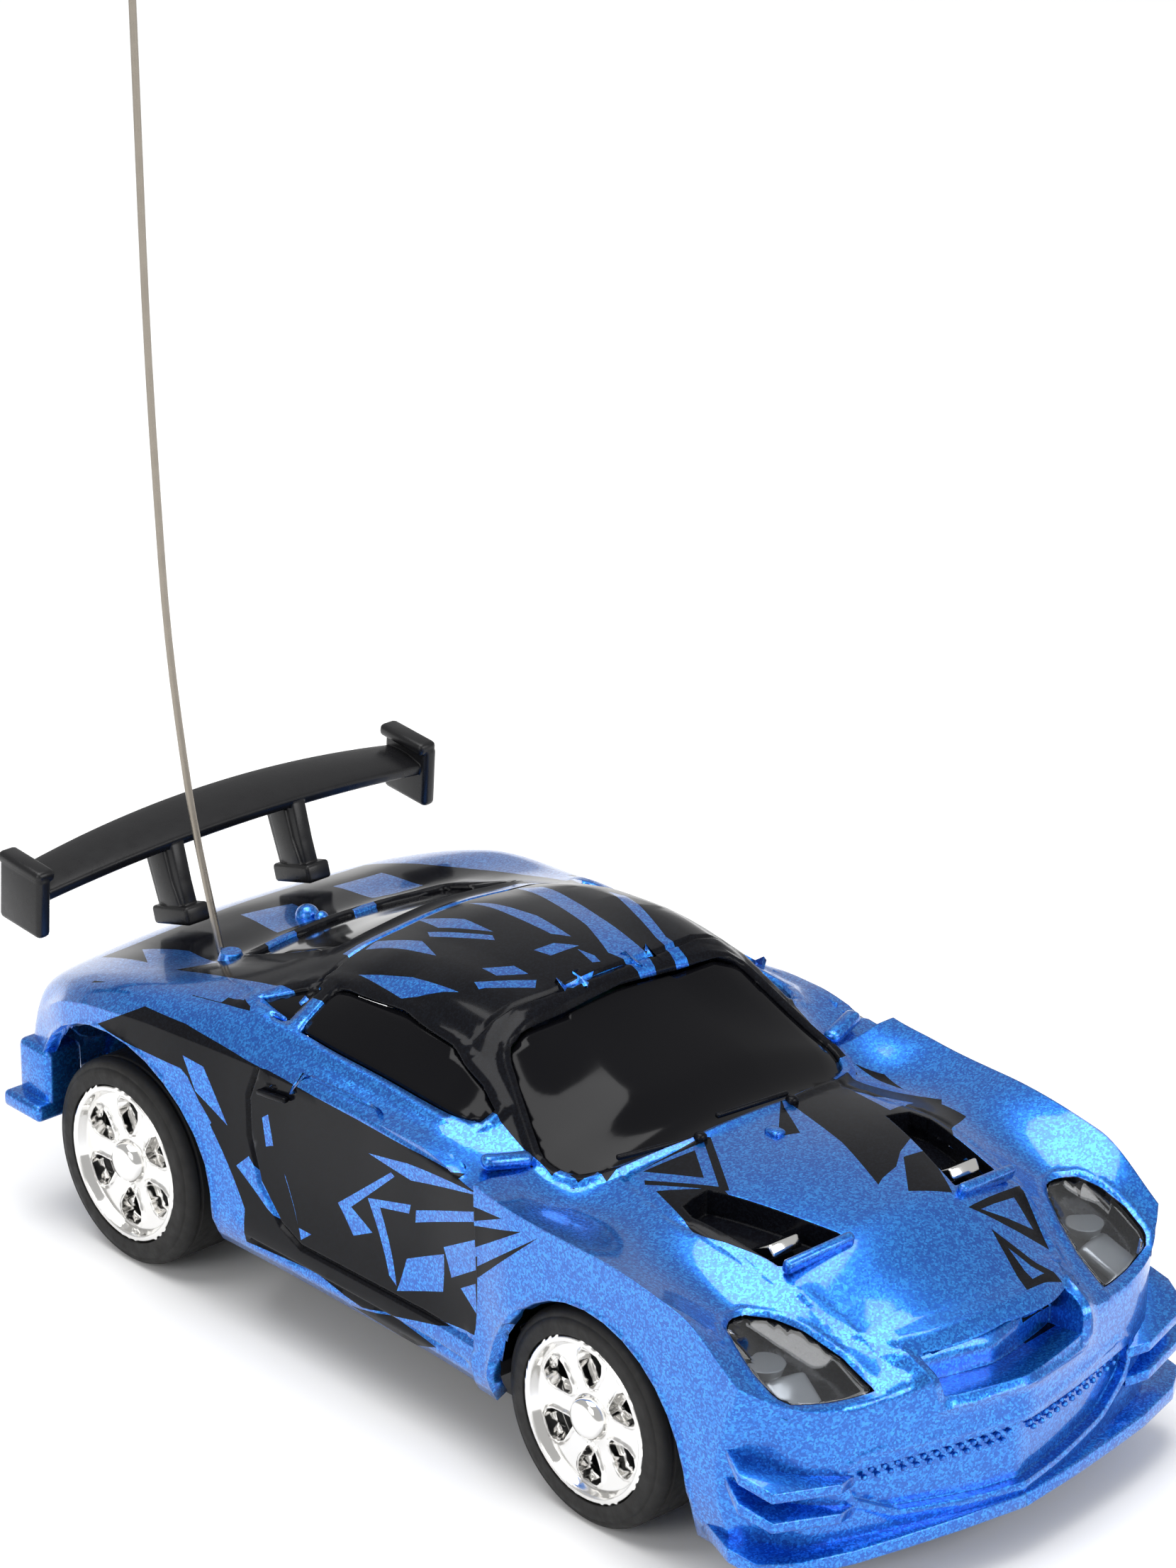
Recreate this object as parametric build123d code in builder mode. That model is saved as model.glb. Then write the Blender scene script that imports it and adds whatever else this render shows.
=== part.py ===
"""Miniature remote control race coupe, about 1:60, as an assembly of separate pieces.

Millimetres. +Z is up, the nose points to -Y and the car's left side is +X. The origin is on the
ground under the middle of the car's overall box, with the front wheels straight ahead.
"""

import os
from math import acos, cos, hypot, pi, radians, sin, tan

from build123d import *

os.makedirs("parts", exist_ok=True)

# ---- driving dimensions: the car as a whole
wheelbase = 46.0
front_overhang = 21.0       # front axle to the nose
rear_overhang = 13.4        # rear axle to the wing's trailing edge
body_width = 36.6           # across the flat fender sides
roof_height = 26.6
belt_height = 21.6          # base of the side windows
hood_height = 20.4
fender_height = 19.4
deck_height = 19.7
sill_height = 5.5
nose_clearance = 3.5
antenna_height = 110.0
shell_wall = 0.9
window_flange = 0.5

# ---- wheels and axles
tyre_radius = 7.2
rim_radius = 5.5
rim_wall = 0.55
front_tyre_width = 4.8
rear_tyre_width = 5.6
wheel_inset = 0.9           # outer wheel face inside the fender side
hub_radius = 1.9
axle_radius = 0.75
running_clearance = 0.05

# ---- chassis
ground_clearance = 2.4
floor_thickness = 1.0
pan_wall = 0.8
pan_side_gap = 0.8          # pan edge to the inside of the body shell
tyre_gap = 1.2              # pan edge to a tyre's inner face

# ---- steering
kingpin_inset = 3.6         # kingpin to the tyre's inner face
kingpin_radius = 0.7
knuckle_radius = 1.6
arm_length = 4.0
arm_pin_radius = 0.5
arm_pin_clearance = 0.15
magnet_radius = 1.9
magnet_length = 2.4
coil_radius = 2.3
coil_length = 2.2
coil_gap = 3.2              # car's centre to a coil's inner end
trim_stub_radius = 1.6

# ---- drive
gear_module = 0.3
axle_gear_teeth = 24
pinion_teeth = 9
gear_width = 2.2
pinion_width = 3.0
gear_backlash = 0.05
pressure_angle = radians(25)
motor_radius = 3.5
motor_length = 10.2
motor_wall = 0.4
motor_shaft_radius = 0.5
motor_lift = radians(12)    # motor sits this far above the axle, seen from the axle

# ---- electrics
battery_radius = 5.0
battery_length = 22.0
board_height = 14.6
board_thickness = 0.8
board_length = 26.0
board_width = 28.8
switch_travel = 2.0
socket_radius = 1.2
wire_radius = 0.35
antenna_radius = 0.25

# ---- screws
screw_radius = 0.6
screw_head_radius = 1.2
screw_head_height = 0.7

# ---- places worked out from the values above
car_length = front_overhang + wheelbase + rear_overhang
front_axle_y = front_overhang - car_length / 2
rear_axle_y = front_axle_y + wheelbase
half_width = body_width / 2
wheel_face_x = half_width - wheel_inset
front_tyre_inner_x = wheel_face_x - front_tyre_width
rear_tyre_inner_x = wheel_face_x - rear_tyre_width
kingpin_x = front_tyre_inner_x - kingpin_inset
axle_z = tyre_radius
floor_top = ground_clearance + floor_thickness
tie_rod_y = front_axle_y + arm_length
sides = {"left": 1, "right": -1}


def place(name, piece):
    """Label a finished piece and write it as its own STEP file."""
    piece.label = name
    export_step(piece, f"parts/{name}.step")


def fore(distance):
    """A place behind the front axle."""
    return front_axle_y + distance


def aft(distance):
    """A place behind the rear axle."""
    return rear_axle_y + distance


# ---------------------------------------------------------------- body shell
# Each station is half of a cross-section, from the bottom of the sill over the skirt, the
# side, the fender crease, the valley or window base, the hood or roof edge and the crown to
# the centre line. A point is (distance inside the fender side, height).
def centre_points(edge_inset, edge_z, crown_z, centre_z):
    """The hood's or roof's own edge, crown and centre points."""
    return [(edge_inset, edge_z), (half_width / 2 + edge_inset / 2, crown_z), (half_width, centre_z)]


hood, fender, roof, belt = hood_height, fender_height, roof_height, belt_height
deck, sill, nose = deck_height, sill_height, nose_clearance

stations = [
    (fore(-21.4), [(1.4, nose), (1.2, 6.5), (1.2, 10.0), (1.8, 12.3), (5.2, 12.2)]
     + centre_points(8.8, 12.6, 13.5, hood - 6.8)),
    (fore(-18.0), [(1.4, nose), (0.9, 6.5), (0.8, 10.2), (1.5, 13.2), (5.1, 13.2)]
     + centre_points(8.6, hood - 6.8, hood - 5.2, hood - 4.7)),
    (fore(-14.2), [(1.2, nose), (0.5, 6.5), (0.3, 10.5), (0.4, fender - 3.8), (5.0, fender - 4.6)]
     + centre_points(8.5, hood - 4.9, hood - 3.3, hood - 2.9)),
    (fore(-9.0), [(1.1, nose + 0.2), (0.3, 7.0), (0.1, 11.0), (0.3, fender - 0.8), (4.8, fender - 2.6)]
     + centre_points(8.9, hood - 1.8, hood - 1.0, hood - 0.7)),
    (fore(-1.0), [(1.0, sill - 0.8), (0.2, 7.2), (0.0, 11.0), (0.3, fender), (4.8, fender - 0.6)]
     + centre_points(9.3, hood - 0.5, hood - 0.1, hood)),
    (fore(5.5), [(1.0, sill - 0.4), (0.2, 7.2), (0.1, 11.0), (0.4, fender - 0.2), (4.8, fender - 1.0)]
     + centre_points(9.3, hood - 0.8, hood - 0.3, hood - 0.1)),
    (fore(9.5), [(1.2, sill), (0.5, 7.3), (0.9, 11.5), (0.8, fender - 0.3), (4.9, fender)]
     + centre_points(7.7, belt - 1.0, belt + 0.1, belt + 0.4)),
    (fore(15.8), [(1.5, sill), (0.8, 7.3), (1.4, 12.0), (1.1, belt - 1.5), (4.1, belt - 0.6)]
     + centre_points(8.8, roof - 2.2, roof - 1.9, roof - 1.7)),
    (fore(17.4), [(1.5, sill), (0.8, 7.3), (1.4, 12.0), (1.1, belt - 1.5), (4.0, belt - 0.5)]
     + centre_points(9.1, roof - 1.1, roof - 0.5, roof - 0.3)),
    (fore(22.0), [(1.5, sill), (0.8, 7.3), (1.4, 12.0), (1.2, belt - 1.7), (3.9, belt - 0.3)]
     + centre_points(8.8, roof - 0.8, roof - 0.2, roof)),
    (aft(-18.0), [(1.5, sill), (0.8, 7.3), (1.3, 12.0), (1.2, belt - 1.9), (3.7, belt)]
     + centre_points(9.0, roof - 1.2, roof - 0.6, roof - 0.3)),
    (aft(-12.0), [(1.4, sill), (0.7, 7.3), (1.0, 12.0), (1.0, belt - 2.2), (3.3, belt)]
     + centre_points(9.7, roof - 2.7, roof - 2.0, roof - 1.7)),
    (aft(-5.0), [(1.2, sill), (0.4, 7.3), (0.3, 12.0), (0.4, deck - 0.5), (3.0, deck + 1.1)]
     + centre_points(10.1, deck + 1.7, deck + 2.0, deck + 2.2)),
    (aft(0.5), [(1.1, sill + 0.1), (0.2, 7.6), (0.1, 12.0), (0.2, deck - 1.1), (2.7, deck + 0.2)]
     + centre_points(9.8, deck - 0.3, deck - 0.1, deck)),
    (aft(5.0), [(1.3, sill + 0.7), (0.6, 8.4), (0.4, 12.0), (0.5, deck - 2.2), (2.9, deck - 1.1)]
     + centre_points(9.8, deck - 1.1, deck - 1.0, deck - 0.9)),
    (aft(10.0), [(2.0, sill + 1.7), (1.6, 9.4), (1.6, 12.0), (2.0, deck - 5.1), (3.7, deck - 3.1)]
     + centre_points(9.8, deck - 2.6, deck - 2.4, deck - 2.3)),
    (aft(12.0), [(2.8, sill + 2.4), (2.4, 9.8), (2.4, 12.0), (2.9, deck - 6.2), (4.3, deck - 4.2)]
     + centre_points(9.8, deck - 3.5, deck - 3.3, deck - 3.2)),
]

mid_station = 9             # the form is lofted in two lengths that meet at this station

# plan outline: half of the nose and tail, from the centre of the nose to the tail
nose_plan = [(half_width, -20.6), (half_width - 5.0, -19.6), (8.3, -18.2), (4.6, -17.0), (1.9, -14.6),
             (-0.4, -9.0)]
tail_plan = [(-0.4, 8.0), (2.2, 11.0), (6.0, 12.0), (half_width, 12.2)]


def inset_chain(points, wall):
    """Move an open chain of points inwards by the wall, along the bisector at each point."""
    moved = []
    for index, (x, z) in enumerate(points):
        before = points[max(index - 1, 0)]
        after = points[min(index + 1, len(points) - 1)]
        normals = []
        for start, end in ((before, (x, z)), ((x, z), after)):
            run = hypot(end[0] - start[0], end[1] - start[1])
            if run > 0:
                normals.append(((start[1] - end[1]) / run, (end[0] - start[0]) / run))
        nx = sum(n[0] for n in normals) / len(normals)
        nz = sum(n[1] for n in normals) / len(normals)
        stretch = wall / max(nx * nx + nz * nz, 0.5)
        moved.append((x + nx * stretch, z + nz * stretch))
    return moved


def section_chain(points, wall):
    """Half a section as (x, z) on the car's left side, inset by the wall."""
    chain = [(half_width - inset, z) for inset, z in points]
    if wall > 0:
        chain = inset_chain(chain, wall)
        chain[-1] = (0.0, chain[-1][1])
    return chain


def section_plane(y):
    return Plane(origin=(0, y, 0), x_dir=(1, 0, 0), z_dir=(0, -1, 0))


def body_solid(wall):
    """The body's outer form, or with a wall its hollow, which runs out below the sills."""
    last = len(stations) - 1
    with BuildPart() as form:
        for first_station, last_station in ((0, mid_station), (mid_station, last)):
            for index in range(first_station, last_station + 1):
                y, points = stations[index]
                chain = section_chain(points, wall)
                if wall > 0:
                    chain[0] = (chain[0][0], 1.0)
                outline = chain + [(-x, z) for x, z in reversed(chain[:-1])]
                end_shift = wall if index == 0 else -wall if index == last else 0.0
                with BuildSketch(section_plane(y + end_shift)):
                    Polygon(*outline, align=None)
            loft(ruled=True)
        with BuildSketch(Plane.XY) as plan:
            half = [(half_width - inset, fore(y)) for inset, y in nose_plan[1:]]
            half += [(half_width - inset, aft(y)) for inset, y in tail_plan[:-1]]
            centre = [(0.0, fore(nose_plan[0][1])), (0.0, aft(tail_plan[-1][1]))]
            Polygon(*(centre[:1] + half + centre[1:] + [(-x, y) for x, y in reversed(half)]), align=None)
            if wall > 0:
                offset(amount=-wall, kind=Kind.INTERSECTION)
        extrude(amount=roof_height * 2, mode=Mode.INTERSECT)
    return form.part


outer_form = body_solid(0.0)
inner_form = body_solid(shell_wall)
flange_form = body_solid(shell_wall + window_flange)

with BuildPart() as shell_skin:
    add(outer_form)
    add(inner_form, mode=Mode.SUBTRACT)

with BuildPart() as flange_skin:
    add(inner_form)
    add(flange_form, mode=Mode.SUBTRACT)

# windows and lamps as outlines: (x, y) for those cut downwards, (y, z) for the side windows
windshield_base_x = half_width - 6.2
windshield_top_x = half_width - 8.9
windshield_outline = [(-windshield_base_x, fore(8.7)), (0.0, fore(5.3)), (windshield_base_x, fore(8.7)),
                      (windshield_top_x, fore(15.7)), (-windshield_top_x, fore(15.7))]
rear_window_top_x = half_width - 10.4
rear_window_outline = [(-rear_window_top_x, aft(-11.2)), (rear_window_top_x, aft(-11.2)),
                       (rear_window_top_x, aft(-2.4)), (-rear_window_top_x, aft(-2.4))]
side_window_outline = [(fore(14.2), belt + 0.3), (fore(17.6), belt + 2.1), (fore(23.0), belt + 3.1),
                       (aft(-18.0), belt + 2.8), (aft(-13.2), belt + 1.6), (aft(-10.2), belt + 0.5)]
lamp_outline = [(half_width - 8.4, fore(-17.1)), (half_width - 4.4, fore(-15.0)),
                (half_width - 2.2, fore(-11.8)), (half_width - 4.4, fore(-9.4))]
side_window_x = half_width - 8.2    # the side windows are cut from here outwards
lamp_floor_z = 9.5


def downward_cutter(outline, low, shrink, mirrored=1):
    with BuildPart() as cutter:
        with BuildSketch(Plane.XY.offset(low)):
            Polygon(*[(x * mirrored, y) for x, y in outline], align=None)
            if shrink:
                offset(amount=-shrink, kind=Kind.INTERSECTION)
        extrude(amount=roof_height * 2)
    return cutter.part


def sideways_cutter(outline, side, shrink):
    with BuildPart() as cutter:
        with BuildSketch(Plane.YZ.offset(side * side_window_x)):
            Polygon(*outline, align=None)
            if shrink:
                offset(amount=-shrink, kind=Kind.INTERSECTION)
        extrude(amount=side * half_width)
    return cutter.part


def glazing(cutter, flange_cutter):
    """A pane that fills its opening flush, with a flange that laps the inside of the shell."""
    with BuildPart() as pane:
        add(shell_skin.part)
        add(cutter, mode=Mode.INTERSECT)
    with BuildPart() as flange:
        add(flange_skin.part)
        add(flange_cutter, mode=Mode.INTERSECT)
    with BuildPart() as whole:
        add(pane.part)
        add(flange.part)
    return whole.part


pane_gap = 0.04             # pane edge to the edge of its opening
pane_lap = 0.15             # how far the flange reaches past the opening

# fins at the front corners, splitter and mirror stubs
fin_outline = [(2.0, -11.2), (-0.3, -14.8), (0.1, -17.2), (4.2, -20.2), (6.4, -18.8), (3.2, -15.0)]
fin_heights = [(9.9, 0.7), (7.6, 0.7)]
splitter_outline = [(1.2, -10.2), (-0.3, -14.5), (0.3, -17.4), (5.2, -19.4), (13.0, -20.6),
                    (half_width, -front_overhang)]
mirror_root = (half_width - 4.4, fore(10.6), fender + 0.4)
mirror_size = (3.6, 1.3, 1.3)

# screw bosses hang from the roof of the shell to the top of the pan
pad_height = 0.6            # raised pad of the pan round each body screw
front_boss_y = fore(-13.0)
rear_boss_y = aft(9.2)
boss_radius = 1.7
antenna_x = -(half_width - 9.9)
antenna_y = aft(-0.1)       # where the antenna comes through the deck
deck_hole_x = half_width - 9.65
deck_hole_y = aft(1.5)
deck_hole_radius = 0.95
vent_outline = [(half_width - 13.4, fore(-9.0)), (half_width - 9.0, fore(-8.8)),
                (half_width - 8.0, fore(-1.4)), (half_width - 11.2, fore(-1.2))]
vent_depth = 1.3
grille_half_width = 6.0
grille_depth = 3.4
grille_low = hood - 7.5
grille_high = hood - 5.7
front_arch_radius = 9.0
front_arch_shift = (-1.2, -0.6)
rear_arch_radius = 10.15
rear_arch_shift = (0.0, -0.2)
arch_inner_x = 10.0


def arch_cutter(axle_y, shift, radius, side):
    """Wheel opening: a round top whose sides run straight down."""
    centre = (axle_y + shift[0], axle_z + shift[1])
    with BuildPart() as cutter:
        with BuildSketch(Plane.YZ.offset(side * arch_inner_x)):
            with Locations(centre):
                Circle(radius)
            with Locations((centre[0], centre[1] / 2)):
                Rectangle(2 * radius, centre[1])
        extrude(amount=side * half_width)
    return cutter.part


def shell_additions():
    """Bosses, vent trays and grille tray, trimmed to the body's own surface."""
    with BuildPart() as extras:
        for y in (front_boss_y, rear_boss_y):
            with BuildSketch(Plane.XY.offset(floor_top + pad_height)):
                with Locations((0, y)):
                    Circle(boss_radius)
            extrude(amount=roof_height)
        for side in sides.values():
            with BuildSketch(Plane.XY.offset(hood - 3.6)):
                Polygon(*[(side * x, y) for x, y in vent_outline], align=None)
                offset(amount=0.7, kind=Kind.INTERSECTION)
            extrude(amount=roof_height)
        with BuildSketch(section_plane(fore(-front_overhang))):
            with Locations((0, (grille_low + grille_high) / 2)):
                Rectangle(2 * grille_half_width + 1.4, grille_high - grille_low + 1.4)
        extrude(amount=-(grille_depth + 1.6))
        add(outer_form, mode=Mode.INTERSECT)
    return extras.part


def fins():
    with BuildPart() as plates:
        for side in sides.values():
            for low, thick in fin_heights:
                with BuildSketch(Plane.XY.offset(low)):
                    Polygon(*[(side * (half_width - i), fore(y)) for i, y in fin_outline], align=None)
                extrude(amount=thick)
        half = [(half_width - i, fore(y)) for i, y in splitter_outline]
        with BuildSketch(Plane.XY.offset(nose_clearance)):
            Polygon(*(half + [(-x, y) for x, y in reversed(half[:-1])]), align=None)
        extrude(amount=0.8)
        add(inner_form, mode=Mode.SUBTRACT)
    return plates.part


def mirror_stub(side):
    x, y, z = mirror_root
    with BuildPart() as stub:
        with BuildSketch(Plane.YZ.offset(side * (x - 0.8))):
            with Locations((y, z)):
                Ellipse(mirror_size[1] * 0.5, mirror_size[2] * 0.5)
        with BuildSketch(Plane.YZ.offset(side * (x + mirror_size[0] * 0.55))):
            with Locations((y - 0.3, z + 0.3)):
                Ellipse(mirror_size[1] * 0.7, mirror_size[2] * 0.6)
        loft()
        add(inner_form, mode=Mode.SUBTRACT)
    return stub.part


with BuildPart() as body_shell:
    add(shell_skin.part)
    add(shell_additions())
    add(fins())
    for side in sides.values():
        add(mirror_stub(side))
        add(arch_cutter(front_axle_y, front_arch_shift, front_arch_radius, side), mode=Mode.SUBTRACT)
        add(arch_cutter(rear_axle_y, rear_arch_shift, rear_arch_radius, side), mode=Mode.SUBTRACT)
        add(sideways_cutter(side_window_outline, side, 0), mode=Mode.SUBTRACT)
        add(downward_cutter(lamp_outline, lamp_floor_z, 0, side), mode=Mode.SUBTRACT)
        with BuildSketch(Plane.XY.offset(hood - vent_depth - 1.4)):
            Polygon(*[(side * x, y) for x, y in vent_outline], align=None)
        extrude(amount=roof_height, mode=Mode.SUBTRACT)
    add(downward_cutter(windshield_outline, fender - 2.0, 0), mode=Mode.SUBTRACT)
    add(downward_cutter(rear_window_outline, deck - 1.2, 0), mode=Mode.SUBTRACT)
    with BuildSketch(section_plane(fore(-front_overhang - 1.0))):
        with Locations((0, (grille_low + grille_high) / 2)):
            Rectangle(2 * grille_half_width, grille_high - grille_low)
    extrude(amount=-(grille_depth + 1.8), mode=Mode.SUBTRACT)
    with BuildSketch(Plane.XY.offset(deck - 3.0)):
        with Locations((-deck_hole_x, deck_hole_y), (deck_hole_x, deck_hole_y)):
            Circle(deck_hole_radius)
        with Locations((antenna_x, (deck_hole_y + antenna_y) / 2)):
            Rectangle(4 * antenna_radius, deck_hole_y - antenna_y + 1.2)
    extrude(amount=6.0, mode=Mode.SUBTRACT)
    with BuildSketch(Plane.XY):
        with Locations((0, front_boss_y), (0, rear_boss_y)):
            Circle(screw_radius)
    extrude(amount=floor_top + 5.0, mode=Mode.SUBTRACT)
place("body_shell", body_shell.part)

windshield = glazing(downward_cutter(windshield_outline, fender - 2.0, pane_gap),
                     downward_cutter(windshield_outline, fender - 2.0, -pane_lap))
place("windshield", windshield)
rear_window = glazing(downward_cutter(rear_window_outline, deck - 1.2, pane_gap),
                      downward_cutter(rear_window_outline, deck - 1.2, -pane_lap))
place("rear_window", rear_window)
for name, side in sides.items():
    window = glazing(sideways_cutter(side_window_outline, side, pane_gap),
                     sideways_cutter(side_window_outline, side, -pane_lap))
    place(f"side_window_{name}", window)
    lens = glazing(downward_cutter(lamp_outline, lamp_floor_z, pane_gap, side),
                   downward_cutter(lamp_outline, lamp_floor_z, -pane_lap, side))
    place(f"headlight_lens_{name}", lens)

# ---------------------------------------------------------------- rear wing
wing_front_y = aft(8.7)
wing_chord = (4.1, 4.6)     # at the tips and at the centre
wing_front_z = (deck + 3.8, deck + 4.6)
wing_rise = (0.4, 1.0)      # trailing edge above the leading edge
wing_thickness = 0.75
wing_half_span = half_width - 1.5
end_plate_thickness = 0.8
post_x = 5.25
post_thickness = 1.0
foot_width = 1.9
post_outline = [(7.6, deck - 1.0), (9.0, deck + 4.8), (12.6, deck + 5.3), (10.2, deck - 1.2)]
foot_outline = [(6.8, deck - 2.6), (10.6, deck - 3.6), (10.6, deck - 1.7), (6.8, deck - 0.7)]


def blend_values(pair, share):
    """Between the tip value and the centre value."""
    return pair[0] + (pair[1] - pair[0]) * share


with BuildPart() as rear_wing:
    for step in range(-3, 4):
        x = wing_half_span * step / 3
        share = 1 - (step / 3) ** 2
        front_z = blend_values(wing_front_z, share)
        rear_y = wing_front_y + blend_values(wing_chord, share)
        rear_z = front_z + blend_values(wing_rise, share)
        with BuildSketch(Plane.YZ.offset(x)):
            Polygon((wing_front_y, front_z), (rear_y, rear_z), (rear_y, rear_z + wing_thickness),
                    (wing_front_y + 0.4, front_z + wing_thickness), align=None)
    loft(ruled=True)
    for side in sides.values():
        with BuildSketch(Plane.YZ.offset(side * (wing_half_span - 0.3))):
            with Locations(((wing_front_y + aft(13.1)) / 2 - 0.2, deck + 3.1)):
                RectangleRounded(aft(13.1) - wing_front_y + 0.4, 4.5, 0.5)
        extrude(amount=side * end_plate_thickness)
        with BuildSketch(Plane.YZ.offset(side * post_x)):
            Polygon(*[(aft(y), z) for y, z in post_outline], align=None)
        extrude(amount=post_thickness / 2, both=True)
        with BuildSketch(Plane.YZ.offset(side * post_x)):
            Polygon(*[(aft(y), z) for y, z in foot_outline], align=None)
        extrude(amount=foot_width / 2, both=True)
    add(outer_form, mode=Mode.SUBTRACT)
place("rear_wing", rear_wing.part)

# ---------------------------------------------------------------- places inside
cover_z = 10.9
cover_thickness = 0.9
cover_post = (4.8, fore(-0.6))
post_radius = 1.6
board_post = (board_width / 2 - 1.4, 3.0)
board_post_radius = 1.3
board_centre_y = 4.0
trim_y = fore(-5.5)
trim_length = 8.6
lever_z = floor_top + 0.1
lever_thickness = 0.8
magnet_z = 6.9
centre_distance = gear_module * (axle_gear_teeth + pinion_teeth) / 2 + gear_backlash
motor_y = rear_axle_y - centre_distance * cos(motor_lift)
motor_z = axle_z + centre_distance * sin(motor_lift)
motor_front_x = -4.4
motor_rear_x = motor_front_x + motor_length
battery_y = motor_y - motor_radius - battery_radius - 0.8
battery_z = floor_top + battery_radius + 0.3
gear_x = -8.3
cheek_x = 8.8
cheek_front_y = motor_y - 2.4
cheek_post_length = 2.9
clamp_z = motor_z + motor_radius + 0.16
clamp_thickness = 0.9
clamp_screw_y = cheek_front_y + cheek_post_length / 2
clamp_screw_x = cheek_x + 0.9
bush_radius = 1.5
rear_pan_half = rear_tyre_inner_x - tyre_gap
mid_pan_half = half_width - 1.5 - shell_wall - 0.3
ear_half_width = kingpin_x + knuckle_radius
switch_place = (-10.0, -3.0)
switch_size = (3.6, 8.0, 3.4)
knob_size = (1.2, 1.6)
socket_place = (9.5, -3.0)
socket_outer_radius = 1.8


def x_cylinder(radius, x_from, x_to, y, z, mode=Mode.ADD):
    """A cylinder along X, inside the part being built."""
    with Locations(((x_from + x_to) / 2, y, z)):
        Cylinder(radius, abs(x_to - x_from), rotation=(0, 90, 0), mode=mode)


def z_cylinder(radius, z_from, z_to, places, mode=Mode.ADD):
    """Upright cylinders, inside the part being built."""
    with Locations(*[(x, y, (z_from + z_to) / 2) for x, y in places]):
        Cylinder(radius, z_to - z_from, mode=mode)


def block(x_span, y_span, z_span, mode=Mode.ADD):
    """A box between two values on each axis, inside the part being built."""
    spans = (x_span, y_span, z_span)
    with Locations(tuple((low + high) / 2 for low, high in spans)):
        Box(*[high - low for low, high in spans], mode=mode)


def both(x, y):
    """The same place on the left and on the right."""
    return [(x, y), (-x, y)]


# ---------------------------------------------------------------- chassis pan
pan_front_y = fore(-17.0)
pan_mid_y = fore(10.5)
pan_narrow_y = rear_axle_y - tyre_radius - 2.1
pan_rear_y = aft(10.9)
kingpins = both(kingpin_x, front_axle_y)
body_screw_places = [(0, front_boss_y), (0, rear_boss_y)]
counterbore_depth = 0.8
battery_rib_x = 7.0
motor_rib_x = (-2.4, 3.0)
trough_half = 12.9
trough_wall = 0.6
shelf_bottom = floor_top + 1.6
shelf_top = shelf_bottom + floor_thickness

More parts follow.
